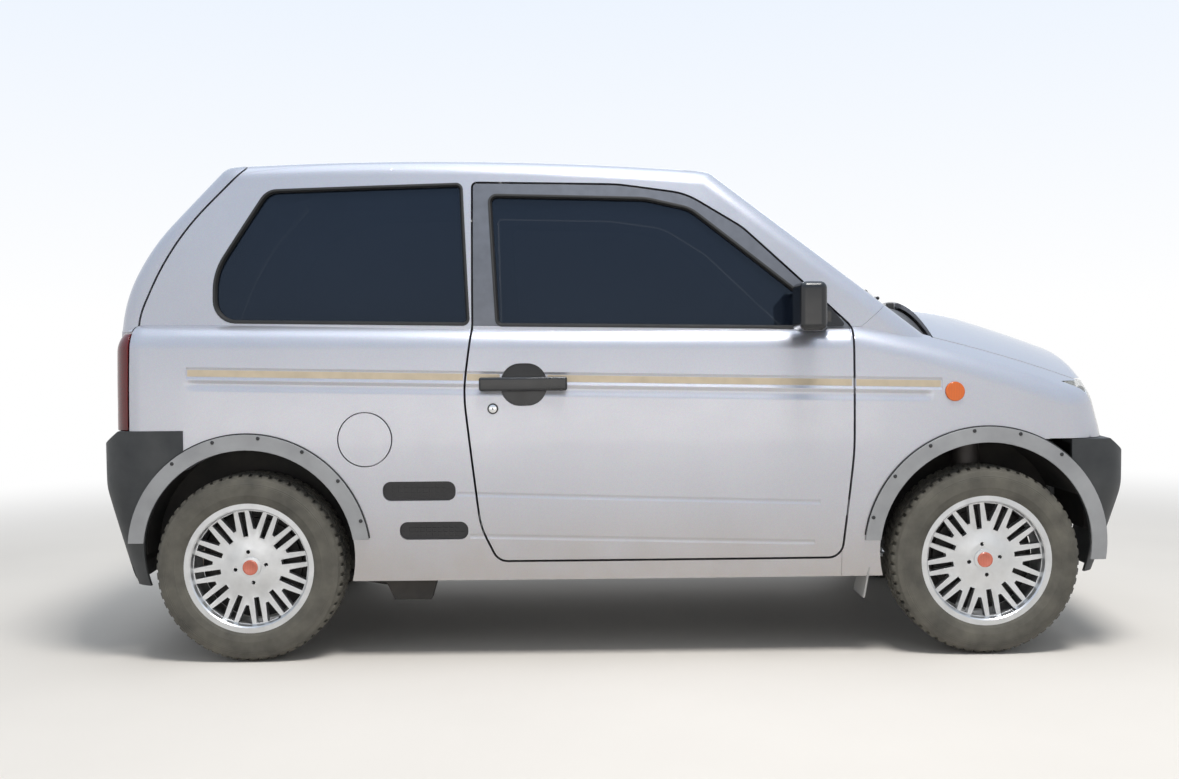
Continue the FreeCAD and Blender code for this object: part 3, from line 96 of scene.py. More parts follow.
def newMaterial(name):
    made = bpy.data.materials.new(name)
    made.use_nodes = True
    tree = made.node_tree
    return made, tree, tree.nodes["Principled BSDF"]


def feed(tree, node, values):
    # each socket, by name or number, takes a plain value or is joined to the socket given for it
    for key, value in values.items():
        socket = node.inputs[key]
        if isinstance(value, bpy.types.NodeSocket):
            tree.links.new(value, socket)
        elif socket.type == "RGBA":
            socket.default_value = tuple(value) + (1,)
        else:
            socket.default_value = value


def put(tree, kind, values=None, **settings):
    node = tree.nodes.new(kind)
    for key, value in settings.items():
        setattr(node, key, value)
    feed(tree, node, values or {})
    return node


def objectSpace(tree):
    return put(tree, "ShaderNodeTexCoord").outputs["Object"]


def axisParts(tree, vector):
    return put(tree, "ShaderNodeSeparateXYZ", {"Vector": vector}).outputs


def noise(tree, vector, scale, detail):
    values = {"Vector": vector, "Scale": scale, "Detail": detail, "Roughness": 0.55}
    return put(tree, "ShaderNodeTexNoise", values).outputs["Fac"]


def ramp(tree, source, stops):
    # two colours, each reached at its own share of the source
    node = put(tree, "ShaderNodeValToRGB", {"Fac": source})
    for element, (place, colour) in zip(node.color_ramp.elements, stops):
        element.position, element.color = place, tuple(colour) + (1,)
    return node.outputs["Color"]


def mapped(tree, source, low, high, first, last, way="SMOOTHSTEP"):
    # the first value up to the low place, the last from the high one on
    values = {"Value": source, "From Min": low, "From Max": high, "To Min": first, "To Max": last}
    return put(tree, "ShaderNodeMapRange", values, interpolation_type=way).outputs["Result"]


def spread(tree, source, low, high):
    return mapped(tree, source, 0, 1, low, high, "LINEAR")


def worked(tree, operation, *terms):
    return put(tree, "ShaderNodeMath", dict(enumerate(terms)), operation=operation).outputs[0]


def product(tree, whole, *factors):
    for factor in factors:
        whole = worked(tree, "MULTIPLY", whole, factor)
    return whole


def bump(tree, shader, source, strength, distance, before=None):
    values = {"Strength": strength, "Distance": distance, "Height": source}
    if before is not None:
        values["Normal"] = before
    normal = put(tree, "ShaderNodeBump", values).outputs["Normal"]
    tree.links.new(normal, shader.inputs["Normal"])
    return normal


def blendColour(tree, factor, first, second, mode="MIX"):
    # sockets 0, 6 and 7 are the node's factor and its two colours
    values = {0: factor, 6: first, 7: second}
    return put(tree, "ShaderNodeMix", values, data_type="RGBA", blend_type=mode).outputs[2]


def scaled(colour, share):
    return [part * share for part in colour]


# hollow under the tan strip of painted ground reflection, metres: height of its line over the origin, its
# fall forward, where its lower and upper slopes begin and end below the line, its ends and how far they fade
# in
crease = {"height": 0.8956, "fall": 0.0245, "low": (-0.060, -0.036), "high": (-0.034, -0.020),
          "rear": -1.375, "rearFade": 0.05, "front": 1.02, "frontFade": 0.03, "depth": 0.005}


def creaseDepth(tree, space):
    parts = axisParts(tree, space)
    fall = worked(tree, "MULTIPLY_ADD", parts["X"], crease["fall"], -crease["height"])
    lift = worked(tree, "ADD", parts["Z"], fall)
    hollow = product(tree, mapped(tree, lift, *crease["low"], 0, 1),
                     mapped(tree, lift, *crease["high"], 1, 0),
                     mapped(tree, parts["X"], crease["rear"], crease["rear"] + crease["rearFade"], 0, 1),
                     mapped(tree, parts["X"], crease["front"] - crease["frontFade"], crease["front"], 1, 0))
    return worked(tree, "SUBTRACT", 1.0, hollow)


# dust lies full up to the low height and ends at the high one, metres
silver = {"dark": (0.475, 0.48, 0.525), "pale": (0.50, 0.505, 0.55), "flakes": 900.0, "sparkle": 0.12,
          "dust": (0.40, 0.345, 0.28), "dustLow": 0.25, "dustHigh": 0.50}


def silverPaint():
    made, tree, shader = newMaterial("silver_paint")
    space = objectSpace(tree)
    flakes = put(tree, "ShaderNodeTexVoronoi", {"Vector": space, "Scale": silver["flakes"]})
    tint = ramp(tree, noise(tree, space, 3.0, 2.0), [(0.3, silver["dark"]), (0.7, silver["pale"])])
    tone = blendColour(tree, silver["sparkle"], tint, flakes.outputs["Color"], "OVERLAY")
    low = mapped(tree, axisParts(tree, space)["Z"], silver["dustLow"], silver["dustHigh"], 1, 0, "LINEAR")
    dust = product(tree, low, spread(tree, noise(tree, space, 9.0, 6.0), 0.1, 0.8))
    feed(tree, shader, {"Base Color": blendColour(tree, dust, tone, silver["dust"]), "Metallic": 0.62,
                        "Roughness": spread(tree, noise(tree, space, 14.0, 4.0), 0.30, 0.40),
                        "Coat Weight": 0.7, "Coat Roughness": 0.07})
    soft = bump(tree, shader, creaseDepth(tree, space), 1.0, crease["depth"])
    flakeBump = bump(tree, shader, flakes.outputs["Distance"], 0.05, 0.0004, soft)
    bump(tree, shader, noise(tree, space, 60.0, 2.0), 0.03, 0.0006, flakeBump)
    return made


def grained(name, clouds, stops, shine, relief, metallic=0.0):
    # clouds: scale and detail of the colour's noise; shine: scale and detail of the roughness's noise, least
    # and most roughness; relief: scale and detail of the bump's noise, its strength and distance
    made, tree, shader = newMaterial(name)
    space = objectSpace(tree)
    feed(tree, shader, {"Base Color": ramp(tree, noise(tree, space, *clouds), stops), "Metallic": metallic,
                        "Roughness": spread(tree, noise(tree, space, *shine[:2]), *shine[2:])})
    bump(tree, shader, noise(tree, space, *relief[:2]), *relief[2:])
    return made


def texturedPlastic(name, colour, worn, roughness, grain=420.0, strength=0.35):
    return grained(name, (7.0, 5.0), [(0.35, colour), (0.75, worn)],
                   (24.0, 4.0, roughness - 0.08, roughness + 0.1), (grain, 2.0, strength, 0.0006))


def metal(name, colour, roughness, grain, strength, metallic=1.0):
    return grained(name, (grain * 0.3, 5.0), [(0.3, scaled(colour, 0.82)), (0.7, colour)],
                   (grain, 4.0, roughness - 0.06, roughness + 0.1), (grain * 3, 2.0, strength, 0.0004),
                   metallic)


def tintedGlass(name, colour, opacity):
    made, tree, shader = newMaterial(name)
    space = objectSpace(tree)
    shade = ramp(tree, noise(tree, space, 2.0, 2.0), [(0.3, colour), (0.7, scaled(colour, 1.25))])
    # its reflections are tinted blue: painted sky reflection
    feed(tree, shader, {"Base Color": shade, "Roughness": 0.02, "Alpha": opacity, "Specular IOR Level": 0.5,
                        "Specular Tint": (0.62, 0.78, 1.0)})
    bump(tree, shader, noise(tree, space, 5.0, 1.0), 0.02, 0.001)
    return made


def lampPlastic(name, colour, opacity, roughness, coat=0.4, pale=None):
    # ridged lens; pale names a lighter window in it: its heights and the place along the car that it ends at
    made, tree, shader = newMaterial(name)
    space = objectSpace(tree)
    ridges = put(tree, "ShaderNodeTexWave", {"Vector": space, "Scale": 60.0, "Distortion": 0.3})
    tone = blendColour(tree, spread(tree, ridges.outputs["Fac"], 0.0, 0.35), colour, scaled(colour, 0.55))
    if pale:
        parts = axisParts(tree, space)
        (low, high), end, edge = pale["z"], pale["x"], 0.001
        patch = product(tree, mapped(tree, parts["Z"], low - edge, low + edge, 0, 1),
                        mapped(tree, parts["Z"], high - edge, high + edge, 1, 0),
                        mapped(tree, parts["X"], end - edge, end + edge, 1, 0))
        tone = blendColour(tree, patch, tone, pale["colour"])
    feed(tree, shader, {"Base Color": tone, "Roughness": roughness, "Alpha": opacity, "Coat Weight": coat})
    return made


def wovenCloth(name, colour, accent):
    made, tree, shader = newMaterial(name)
    space = objectSpace(tree)
    weave = put(tree, "ShaderNodeTexVoronoi", {"Vector": space, "Scale": 420.0}).outputs["Distance"]
    tone = ramp(tree, noise(tree, space, 20.0, 4.0), [(0.35, colour), (0.7, accent)])
    feed(tree, shader, {"Base Color": blendColour(tree, 0.2, tone, weave, "MULTIPLY"), "Roughness": 0.9,
                        "Sheen Weight": 0.3})
    bump(tree, shader, weave, 0.5, 0.0008)
    return made


paint = silverPaint()
# tan of the ground reflected in the side channel's upper slope, painted on a strip: painted reflection
groundReflectionTan = metal("tan_ground_reflection", (0.60, 0.51, 0.38), 0.55, 60.0, 0.01, 0.0)
# the door frames' silver paint made dark grey: painted shade for the narrow frames
shadedFramePaint = metal("frame_silver_darkened_for_shade", (0.17, 0.18, 0.205), 0.36, 90.0, 0.03, 0.5)
bumperPlastic = texturedPlastic("bumper_plastic", (0.022, 0.025, 0.028), (0.052, 0.055, 0.057), 0.54)
mouldPlastic = texturedPlastic("faded_moulding", (0.285, 0.293, 0.308), (0.385, 0.396, 0.415), 0.42)
blackPlastic = texturedPlastic("black_plastic", (0.014, 0.014, 0.016), (0.028, 0.028, 0.03), 0.38, 700, 0.15)
glossPlastic = texturedPlastic("gloss_plastic", (0.012, 0.013, 0.015), (0.02, 0.021, 0.024), 0.2, 300, 0.03)
rubberSeal = texturedPlastic("rubber_seal", (0.012, 0.012, 0.012), (0.02, 0.02, 0.02), 0.6, 300, 0.1)
flapRubber = texturedPlastic("mud_flap_rubber", (0.30, 0.30, 0.30), (0.42, 0.42, 0.41), 0.55)
underPaint = texturedPlastic("underbody_coat", (0.02, 0.02, 0.02), (0.05, 0.045, 0.04), 0.75, 160, 0.4)
cowlPlastic = texturedPlastic("cowl_plastic", (0.035, 0.035, 0.037), (0.06, 0.06, 0.062), 0.5, 300, 0.2)
cabinPlastic = texturedPlastic("cabin_plastic", (0.035, 0.036, 0.04), (0.05, 0.05, 0.055), 0.65, 500, 0.3)
glassTint = tintedGlass("tinted_glass", (0.006, 0.009, 0.016), 0.86)
lampRed = lampPlastic("red_lens", (0.13, 0.003, 0.003), 1.0, 0.22, 0.0,
                      {"z": (0.800, 0.850), "x": -1.600, "colour": (0.60, 0.57, 0.55)})
lampClear = lampPlastic("clear_lens", (0.62, 0.62, 0.58), 0.38, 0.08)
lampWarm = lampPlastic("bulb_glass", (0.75, 0.72, 0.62), 1.0, 0.1)
lampAmber = lampPlastic("amber_lens", (0.72, 0.14, 0.008), 1.0, 0.12)
rimSilver = metal("rim_silver", (0.66, 0.67, 0.68), 0.30, 60.0, 0.03, 0.85)
discSteel = metal("brake_disc", (0.055, 0.052, 0.05), 0.55, 90.0, 0.2, 0.8)
chrome = metal("bright_trim", (0.78, 0.79, 0.80), 0.12, 60.0, 0.01)
capRed = lampPlastic("hub_cap_red", (0.62, 0.16, 0.10), 1.0, 0.25)
darkIron = metal("cast_iron", (0.14, 0.13, 0.125), 0.6, 40.0, 0.5, 0.8)
pipeSteel = metal("pipe_steel", (0.30, 0.27, 0.24), 0.45, 50.0, 0.2)
alloyCast = metal("cast_alloy", (0.45, 0.46, 0.47), 0.45, 50.0, 0.2)
tyreRubber = grained("tyre_rubber", (11.0, 6.0),
                     [(0.3, (0.060, 0.057, 0.049)), (0.75, (0.150, 0.142, 0.118))],
                     (30.0, 4.0, 0.62, 0.85), (500.0, 3.0, 0.25, 0.0005))
seatCloth = wovenCloth("seat_cloth", (0.10, 0.105, 0.12), (0.16, 0.165, 0.18))

# nodes that stay as they are; every other node is replaced by a piece further down
plainNodes = {
    "quarter_vents": blackPlastic, "floor_pan": underPaint, "engine_block": darkIron, "front_end": underPaint,
    "radiator": alloyCast, "front_suspension": underPaint, "rear_suspension": underPaint,
    "wheel_liners": underPaint, "exhaust": pipeSteel, "fuel_tank": underPaint, "fuel_cap": blackPlastic,
    "knuckle_right": darkIron, "knuckle_left": darkIron,
}
for name, node in frame["nodes"].items():
    node.data.materials.clear()
    node.data.materials.append(plainNodes.get(name, paint))
print("materials made", len(bpy.data.materials))


# Mesh helpers


def carried(made, material, body, node=None):
    # the piece in its material, riding on the body, in place of a node where one is named
    made.data.materials.append(material)
    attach(made, body)
    if node:
        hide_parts(node)
    return made


def markEdges(work, sharpAngle):
    for face in work.faces:
        face.smooth = True
    for edge in work.edges:
        if len(edge.link_faces) == 2:
            edge.smooth = edge.calc_face_angle(0) < math.radians(sharpAngle)


def newPiece(name, points, faces, material, body, node=None):
    mesh = bpy.data.meshes.new(name)
    faces = faces.tolist() if isinstance(faces, np.ndarray) else faces
    mesh.from_pydata(np.asarray(points).reshape(-1, 3).tolist(), [], faces)
    work = bmesh.new()
    work.from_mesh(mesh)
    bmesh.ops.remove_doubles(work, verts=work.verts, dist=1e-6)
    bmesh.ops.recalc_face_normals(work, faces=work.faces)
    markEdges(work, 35)
    work.to_mesh(mesh)
    work.free()
    return carried(linked(name, mesh), material, body, node)


def mergedCopy(node):
    # loose triangles joined at their shared corners
    work = bmesh.new()
    work.from_mesh(frame["nodes"][node].data)
    bmesh.ops.remove_doubles(work, verts=work.verts, dist=1e-5)
    return work


def meshFrom(work, name):
    mesh = bpy.data.meshes.new(name)
    work.to_mesh(mesh)
    work.free()
    return mesh


def dressedNode(node, material, body, bevel, segments=3, angle=30):
    # same form as the node, with its edges broken so that they catch the light
    work = mergedCopy(node)
    if bevel:
        bmesh.ops.dissolve_limit(work, angle_limit=math.radians(1.2), verts=work.verts, edges=work.edges)
    markEdges(work, angle)
    made = linked(node + "_dressed", meshFrom(work, node + "_dressed"))
    if bevel:
        rounding = made.modifiers.new("edges", "BEVEL")
        rounding.width, rounding.segments = bevel, segments
        rounding.limit_method, rounding.angle_limit = "ANGLE", math.radians(angle)
        rounding.use_clamp_overlap = True
    carried(made, material, body, node)


def bodyOf(node):
    for name, nodes in bodyNodes.items():
        if node in nodes:
            return name
    return "body"


def gridFaces(rows, columns, wrapRows=False, wrapColumns=False):
    # quads between neighbouring points of a grid, closed round either way if asked
    i = np.arange(rows if wrapRows else rows - 1)
    j = np.arange(columns if wrapColumns else columns - 1)
    a, b = np.meshgrid(i, j, indexing="ij")
    nextA, nextB = (a + 1) % rows, (b + 1) % columns
    quads = np.stack([a * columns + b, a * columns + nextB, nextA * columns + nextB, nextA * columns + b], -1)
    return quads.reshape(-1, 4)


def tubeFaces(stations, around):
    # closed sections one after the other, with a cap on the first and the last
    faces = gridFaces(stations, around, False, True).tolist()
    last = (stations - 1) * around
    return faces + [list(range(around)), list(range(last, last + around))]


def turned(profile, place, segments, closed=False, forward=False):
    # rows (reach, offset) of a profile turned about a line through place: cross-wise with its offset along Y,
    # or forward with its offset along X
    profile = np.asarray(profile, float)
    angle = np.linspace(0, 2 * np.pi, segments, endpoint=False)
    reach, offset = profile[:, :1], profile[:, 1:] + 0 * angle
    parts = [reach * np.sin(angle), offset, reach * np.cos(angle)]
    if forward:
        parts = [offset, reach * np.cos(angle), reach * np.sin(angle)]
    return np.stack(parts, -1) + np.array(place), gridFaces(len(profile), segments, closed, True)


def slab(outside, inside):
    # two grids of points closed round their edges
    rows, columns = outside.shape[:2]
    count = rows * columns
    faces = gridFaces(rows, columns).tolist()
    faces += [[index + count for index in reversed(quad)] for quad in faces]
    edge = list(range(columns)) + [i * columns + columns - 1 for i in range(1, rows)]
    edge += [(rows - 1) * columns + j for j in range(columns - 2, -1, -1)]
    edge += [i * columns for i in range(rows - 2, 0, -1)]
    for here, ahead in zip(edge, edge[1:] + edge[:1]):
        faces.append([here, here + count, ahead + count, ahead])
    return np.concatenate([outside.reshape(-1, 3), inside.reshape(-1, 3)]), faces


def joined(parts):
    # several (points, faces) as one
    points, faces, count = [], [], 0
    for some, polygons in parts:
        points.append(some.reshape(-1, 3))
        faces += [[index + count for index in polygon] for polygon in polygons]
        count += len(points[-1])
    return np.concatenate(points), faces


def unit(vectors):
    return vectors / np.maximum(np.linalg.norm(vectors, axis=1), 1e-9)[:, None]


# Body skin: the painted panels' outside as formulas, in millimetres.
# Each surface gives its height above the skin and the slope of that height, for many points at once.
# A line is a profile's points (reach from the upright axis, height), turned about that axis; a bend rounds
# two of its runs. An arc is a crowned top's first and last point (x, height), its long and its cross radius.

bodyShape = {
    "halfWidth": 737.5, "flankBend": 60000.0, "barrel": 5800.0, "widest": 680.0,
    "flankPoints": (150, 640, 1130),
    "houseHalf": 651.0, "houseBend": 14000.0, "housePoints": ((697, 940), (662, 1265), (596, 1590)),
    "noseAxis": -750.0, "noseLine": ((1686, 100), (1672, 690), (1492, 1400)), "noseBends": (400.0,),
    "tailAxis": 1933.0, "tailLine": ((1667, 100), (1667, 1150), (1560, 1352), (1165, 1772)),
    "tailBends": (500.0, 700.0), "screenAxis": -1900.0, "screenLine": ((1430.7, 750.0), (100.0, 1797.0)),
    "hoodArc": ((1060, 1150), (1515, 1006), 4800.0, 1500.0), "belt": ((-1800.0, 1088.0), (760.0, 1062.0)),
    "roofArc": ((-1100, 1644), (-300, 1642), 12500.0, 4500.0),
    "cornerNose": 150.0, "cornerTail": 110.0, "shoulder": 90.0, "houseEdge": 70.0,
    "split": 760.0, "splitReach": 2.0, "houseFrom": 965.0,
}


def circleThrough(points):
    # centre and radius of the circle through three points
    (ax, ay), (bx, by), (cx, cy) = points
    rows = np.array([[bx - ax, by - ay], [cx - ax, cy - ay]], float)
    right = np.array([bx * bx - ax * ax + by * by - ay * ay, cx * cx - ax * ax + cy * cy - ay * ay]) / 2
    centre = np.linalg.solve(rows, right)
    return centre, math.hypot(ax - centre[0], ay - centre[1])


def barrelSide(p, halfWidth, bend, points):
    # distance from a circle in the plane of (reach from a far upright axis, height)
    centreY = bend - halfWidth
    span = np.hypot(p[:, 0], centreY + np.abs(p[:, 1]))
    out = span - centreY
    (middleOut, middleZ), radius = circleThrough(points)
    dOut, dZ = out - middleOut, p[:, 2] - middleZ
    reach = np.hypot(dOut, dZ)
    slope = np.stack([dOut / reach * p[:, 0] / span,
                      dOut / reach * (centreY + np.abs(p[:, 1])) / span * np.sign(p[:, 1]), dZ / reach], 1)
    return reach - radius, slope


def lowerSide(p):
    shape = bodyShape
    half, widest, barrel = shape["halfWidth"], shape["widest"], shape["barrel"]
    points = [(half - (z - widest) ** 2 / barrel, z) for z in shape["flankPoints"]]
    return barrelSide(p, half, shape["flankBend"], points)


def upperSide(p):
    return barrelSide(p, bodyShape["houseHalf"], bodyShape["houseBend"], bodyShape["housePoints"])


def turnedLine(p, axisX, start, end):
    # a straight profile line (reach, height) turned about an upright axis on the centre line
    facing = 1.0 if axisX < 0 else -1.0
    dx, dy = p[:, 0] - axisX, p[:, 1]
    reach = np.hypot(dx, dy)
    b = reach - abs(axisX)
    run, rise = end[0] - start[0], end[1] - start[1]
    length = math.hypot(run, rise)
    normalB, normalZ = rise / length, -run / length
    value = (b - start[0]) * normalB + (p[:, 2] - start[1]) * normalZ
    slope = np.stack([normalB * dx / reach, normalB * dy / reach, np.full(len(p), normalZ)], 1)
    return value, slope


def crownedTop(p, start, end, longRadius, crossRadius):
    # a long arc swept over a cross arc, divided by the size of its slope
    start, end = np.array(start, float), np.array(end, float)
    chord = end - start
    length = np.hypot(*chord)
    normal = np.array([chord[1], -chord[0]]) / length
    centre = (start + end) / 2 + normal * math.sqrt(longRadius ** 2 - length ** 2 / 4)
    dx, dz = p[:, 0] - centre[0], p[:, 2] - centre[1]
    reach = np.hypot(dx, dz)
    inner = np.sqrt(np.maximum(crossRadius ** 2 - p[:, 1] ** 2, 1))
    value = reach - longRadius + crossRadius - inner
    slope = np.stack([dx / reach, p[:, 1] / inner, dz / reach], 1)
    size = np.linalg.norm(slope, axis=1)
    return value / size, slope / size[:, None]


def rounded(first, second, radius):
    # two surfaces joined by a rolling-ball edge: inside the wedge the height is the distance from the
    # ball's centre line less its radius, elsewhere it is the higher of the two
    (a, slopeA), (b, slopeB) = first, second
    g = np.clip((slopeA * slopeB).sum(1), -0.999, 0.999)
    u, v = a + radius, b + radius
    wedge = (u >= g * v) & (v >= g * u) & (u + v > 0)
    opening = 1 - g * g
    d = np.sqrt(np.maximum((u * u + v * v - 2 * g * u * v) / opening, 1e-9))
    value = np.where(wedge, d - radius, np.maximum(a, b))
    mixed = ((u - g * v)[:, None] * slopeA + (v - g * u)[:, None] * slopeB) / (opening * d)[:, None]
    return value, unit(np.where(wedge[:, None], mixed, np.where((a > b)[:, None], slopeA, slopeB)))


def turnedProfile(p, axisX, line, bends):
    # the runs of a profile, each rounded into the one before it
    whole = turnedLine(p, axisX, line[0], line[1])
    for start, end, bend in zip(line[1:], line[2:], bends):
        whole = rounded(whole, turnedLine(p, axisX, start, end), bend)
    return whole


def noseSkin(p):
    shape = bodyShape
    front = turnedProfile(p, shape["noseAxis"], shape["noseLine"], shape["noseBends"])
    top = crownedTop(p, *shape["hoodArc"])
    return rounded(rounded(lowerSide(p), front, shape["cornerNose"]), top, shape["shoulder"])


def tailFace(p):
    return turnedProfile(p, bodyShape["tailAxis"], bodyShape["tailLine"], bodyShape["tailBends"])


def tailSkin(p):
    shape = bodyShape
    (rearX, rearZ), (frontX, frontZ) = shape["belt"]
    fall = (frontZ - rearZ) / (frontX - rearX)
    size = math.hypot(fall, 1)
    top = ((p[:, 2] - rearZ - fall * (p[:, 0] - rearX)) / size,
           np.tile(np.array([-fall, 0, 1]) / size, (len(p), 1)))
    return rounded(rounded(lowerSide(p), tailFace(p), shape["cornerTail"]), top, shape["shoulder"])


def houseSkin(p):
    shape = bodyShape
    edge = shape["houseEdge"]
    roof = crownedTop(p, *shape["roofArc"])
    screen = turnedLine(p, shape["screenAxis"], *shape["screenLine"])
    return rounded(rounded(rounded(upperSide(p), screen, edge), tailFace(p), edge), roof, edge)


def skinHeight(p):
    # nearest of the three bodies that make up the outside
    split, reach, far = bodyShape["split"], bodyShape["splitReach"], 1e6
    choices = [(noseSkin(p), p[:, 0] >= split - reach), (tailSkin(p), p[:, 0] <= split + reach),
               (houseSkin(p), p[:, 2] >= bodyShape["houseFrom"])]
    values = np.stack([np.where(valid, found[0], far) for found, valid in choices])
    slopes = np.stack([found[1] for found, valid in choices])
    best = values.argmin(0)
    index = np.arange(len(p))
    return values[best, index], slopes[best, index]


# Panels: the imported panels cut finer, laid on the formulas and shaded by their slope

# pressed lines of the side, millimetres: rear x and z, front x and z, height of the bed and of a slope, depth
sideLines = [(-1363, 929, 1045, 870, 24, 8, 3.0), (-502, 536, 655, 497, 4, 6, 2.0),
             (-464, 400, 638, 368, 4, 6, 2.0)]


def pressedLines(p):
    # depth = bed's depth, falling evenly to 0 over each slope; lean = sine of a slope's turn, up or down
    depth, lean = np.zeros(len(p)), np.zeros(len(p))
    for rearX, rearZ, frontX, frontZ, bed, slope, deep in sideLines:
        rise = p[:, 2] - rearZ - (p[:, 0] - rearX) * (frontZ - rearZ) / (frontX - rearX)
        inside = (p[:, 0] > rearX - 0.5) & (p[:, 0] < frontX + 0.5) & (np.abs(p[:, 1]) > 600)
        share = np.clip((bed / 2 + slope - np.abs(rise)) / slope, 0, 1) * inside
        depth += deep * share
        lean -= np.sign(rise) * deep / math.hypot(deep, slope) * ((share > 0) & (share < 1))
    return depth, lean


def meshArrays(mesh):
    # points in millimetres, face normals, the vertex and the face of each loop
    count, faceCount = len(mesh.vertices), len(mesh.polygons)
    points, normal = np.empty(count * 3), np.empty(faceCount * 3)
    mesh.vertices.foreach_get("co", points)
    mesh.polygons.foreach_get("normal", normal)
    total, corner = np.empty(faceCount, int), np.empty(len(mesh.loops), int)
    mesh.polygons.foreach_get("loop_total", total)
    mesh.loops.foreach_get("vertex_index", corner)
    return points.reshape(-1, 3) * 1000, normal.reshape(-1, 3), corner, np.repeat(np.arange(faceCount), total)


# how panels are cut and laid, millimetres: step of the cuts and how far they stand off the even places; how
# far from the skin a point may lie if one of its faces follows it, if all do, and on a pressed line's bed;
# least cosines between a face and the skin; zones at the screen's and roof's corners: x from and to, least
# reach across, least height, then how deep and how far turned their faces may lie
laying = {"cut": 60.0, "cutShift": 0.7, "skinReach": 0.45, "cornerReach": 2.2, "lineReach": 0.7,
          "onFace": 0.96, "aligned": 0.985, "sloping": 0.90,
          "corners": ((150, 560, 440, 1480), (-1420, -1080, 400, 1500)),
          "cornerDepth": 5.0, "cornerFacing": 0.7}


def finerCut(node):
    # the node cut by planes along every axis
    work = mergedCopy(node)
    low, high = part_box(node)
    step = laying["cut"] / 1000
    for axis in range(3):
        direction = Vector((0, 0, 0))
        direction[axis] = 1
        for place in np.arange(math.ceil(low[axis] / step) * step, high[axis], step):
            spot = direction * float(place + laying["cutShift"] / 1000)
            bmesh.ops.bisect_plane(work, geom=work.verts[:] + work.edges[:] + work.faces[:], dist=1e-5,
                                   plane_co=spot, plane_no=direction)
    bmesh.ops.triangulate(work, faces=[face for face in work.faces if len(face.verts) > 4])
    return meshFrom(work, node + "_skin")


def extremes(count, index, values):
    # least and most of the values that share an index
    least, most = np.full(count, np.inf), np.full(count, -np.inf)
    np.minimum.at(least, index, values)
    np.maximum.at(most, index, values)
    return least, most


def panelShade(points, normal, corner, owner, height, slope, inZone):
    # normals of the loops: the skin's slope on the outside, one shared slope beside it, else the face's own
    faceCount = len(normal)
    facing = extremes(faceCount, owner, (slope[corner] * normal[owner]).sum(1))[0]
    away = extremes(faceCount, owner, np.abs(height)[corner])[1]
    stray = extremes(faceCount, owner, np.abs(height + pressedLines(points)[0])[corner])[1]
    zoned = np.zeros(faceCount, bool)
    zoned[owner[inZone[corner]]] = True
    smooth = facing > laying["aligned"]
    smooth |= zoned & (facing > laying["cornerFacing"]) & (away < laying["cornerDepth"])
    sloping = (facing > laying["sloping"]) & ~smooth
    shade = np.where(smooth[owner][:, None], slope[corner], normal[owner])
    firstCorner = corner[np.searchsorted(owner, np.arange(faceCount))]
    upward = normal[:, 2] > slope[firstCorner][:, 2]
    for chosen in (sloping & upward, sloping & ~upward):
        picked = chosen[owner]
        total = np.zeros((len(points), 3))
        np.add.at(total, corner[picked], normal[owner[picked]])
        shade[picked] = unit(total)[corner[picked]]
    # a pressed line is shaded by the skin's slope, turned up or down by the line's lean at the face's middle
    uphill = unit(np.array([0, 0, 1]) - slope[corner][:, 2:] * slope[corner])
    middle = np.stack([np.bincount(owner, points[corner, axis]) for axis in range(3)], 1)
    depth, lean = pressedLines(middle / np.bincount(owner)[:, None])
    pressed = ((depth > 0) & (stray < laying["lineReach"]) & (facing > laying["cornerFacing"]))[owner]
    lean = lean[owner][:, None]
    shade[pressed] = (slope[corner] * np.sqrt(1 - lean ** 2) + uphill * lean)[pressed]
    return shade


def skinPanel(node, material, body, move=True):
    # a finer cut of the node; move lays its outside on the formulas; what runs along them is shaded by them
    mesh = finerCut(node)
    points, normal, corner, owner = meshArrays(mesh)
    height, slope = skinHeight(points)
    depth = pressedLines(points)[0]
    least, most = extremes(len(points), corner, (slope[corner] * normal[owner]).sum(1))
    x, across, z = points[:, 0], np.abs(points[:, 1]), points[:, 2]
    inZone = np.zeros(len(points), bool)
    for x0, x1, reach, low in laying["corners"]:
        inZone |= (x > x0) & (x < x1) & (across > reach) & (z > low)
    onLine = (depth > 0) & (np.abs(height + depth) < laying["lineReach"])
    onSkin = (np.abs(height) < laying["skinReach"]) & (most > laying["onFace"])
    onSkin |= (np.abs(height) < laying["cornerReach"]) & (least > laying["aligned"]) & (depth == 0)
    onSkin |= inZone & (np.abs(height) < laying["cornerDepth"]) & (least > laying["cornerFacing"])
    if move:
        chosen = onSkin | onLine
        for turn in range(3):
            level, direction = skinHeight(points)
            level = level + np.where(onLine, pressedLines(points)[0], 0)
            points[chosen] -= (level[:, None] * direction)[chosen]
        mesh.vertices.foreach_set("co", (points / 1000).ravel())
        mesh.update()
        points, normal, corner, owner = meshArrays(mesh)
        height, slope = skinHeight(points)
    mesh.polygons.foreach_set("use_smooth", np.ones(len(normal), bool))
    shade = panelShade(points, normal, corner, owner, height, slope, inZone)
    mesh.normals_split_custom_set(shade.tolist())
    carried(linked(node + "_skin", mesh), material, body, node)


panels = ["hood", "roof_panel", "fenders", "tailgate", "fuel_flap"]
for side in sides:
    panels += ["side_panel_" + side, "door_" + side]
for node in panels:
    skinPanel(node, paint, bodyOf(node), node != "fuel_flap")
for side in sides:
    # the door frames take the darkened silver: painted shade
    skinPanel("door_frame_" + side, shadedFramePaint, "door_" + side)
    skinPanel("door_glass_" + side, glassTint, "door_" + side, False)
skinPanel("fixed_glass", glassTint, "body", False)
skinPanel("tailgate_glass", glassTint, bodyOf("tailgate_glass"), False)
print("panels laid on the skin", len(panels))


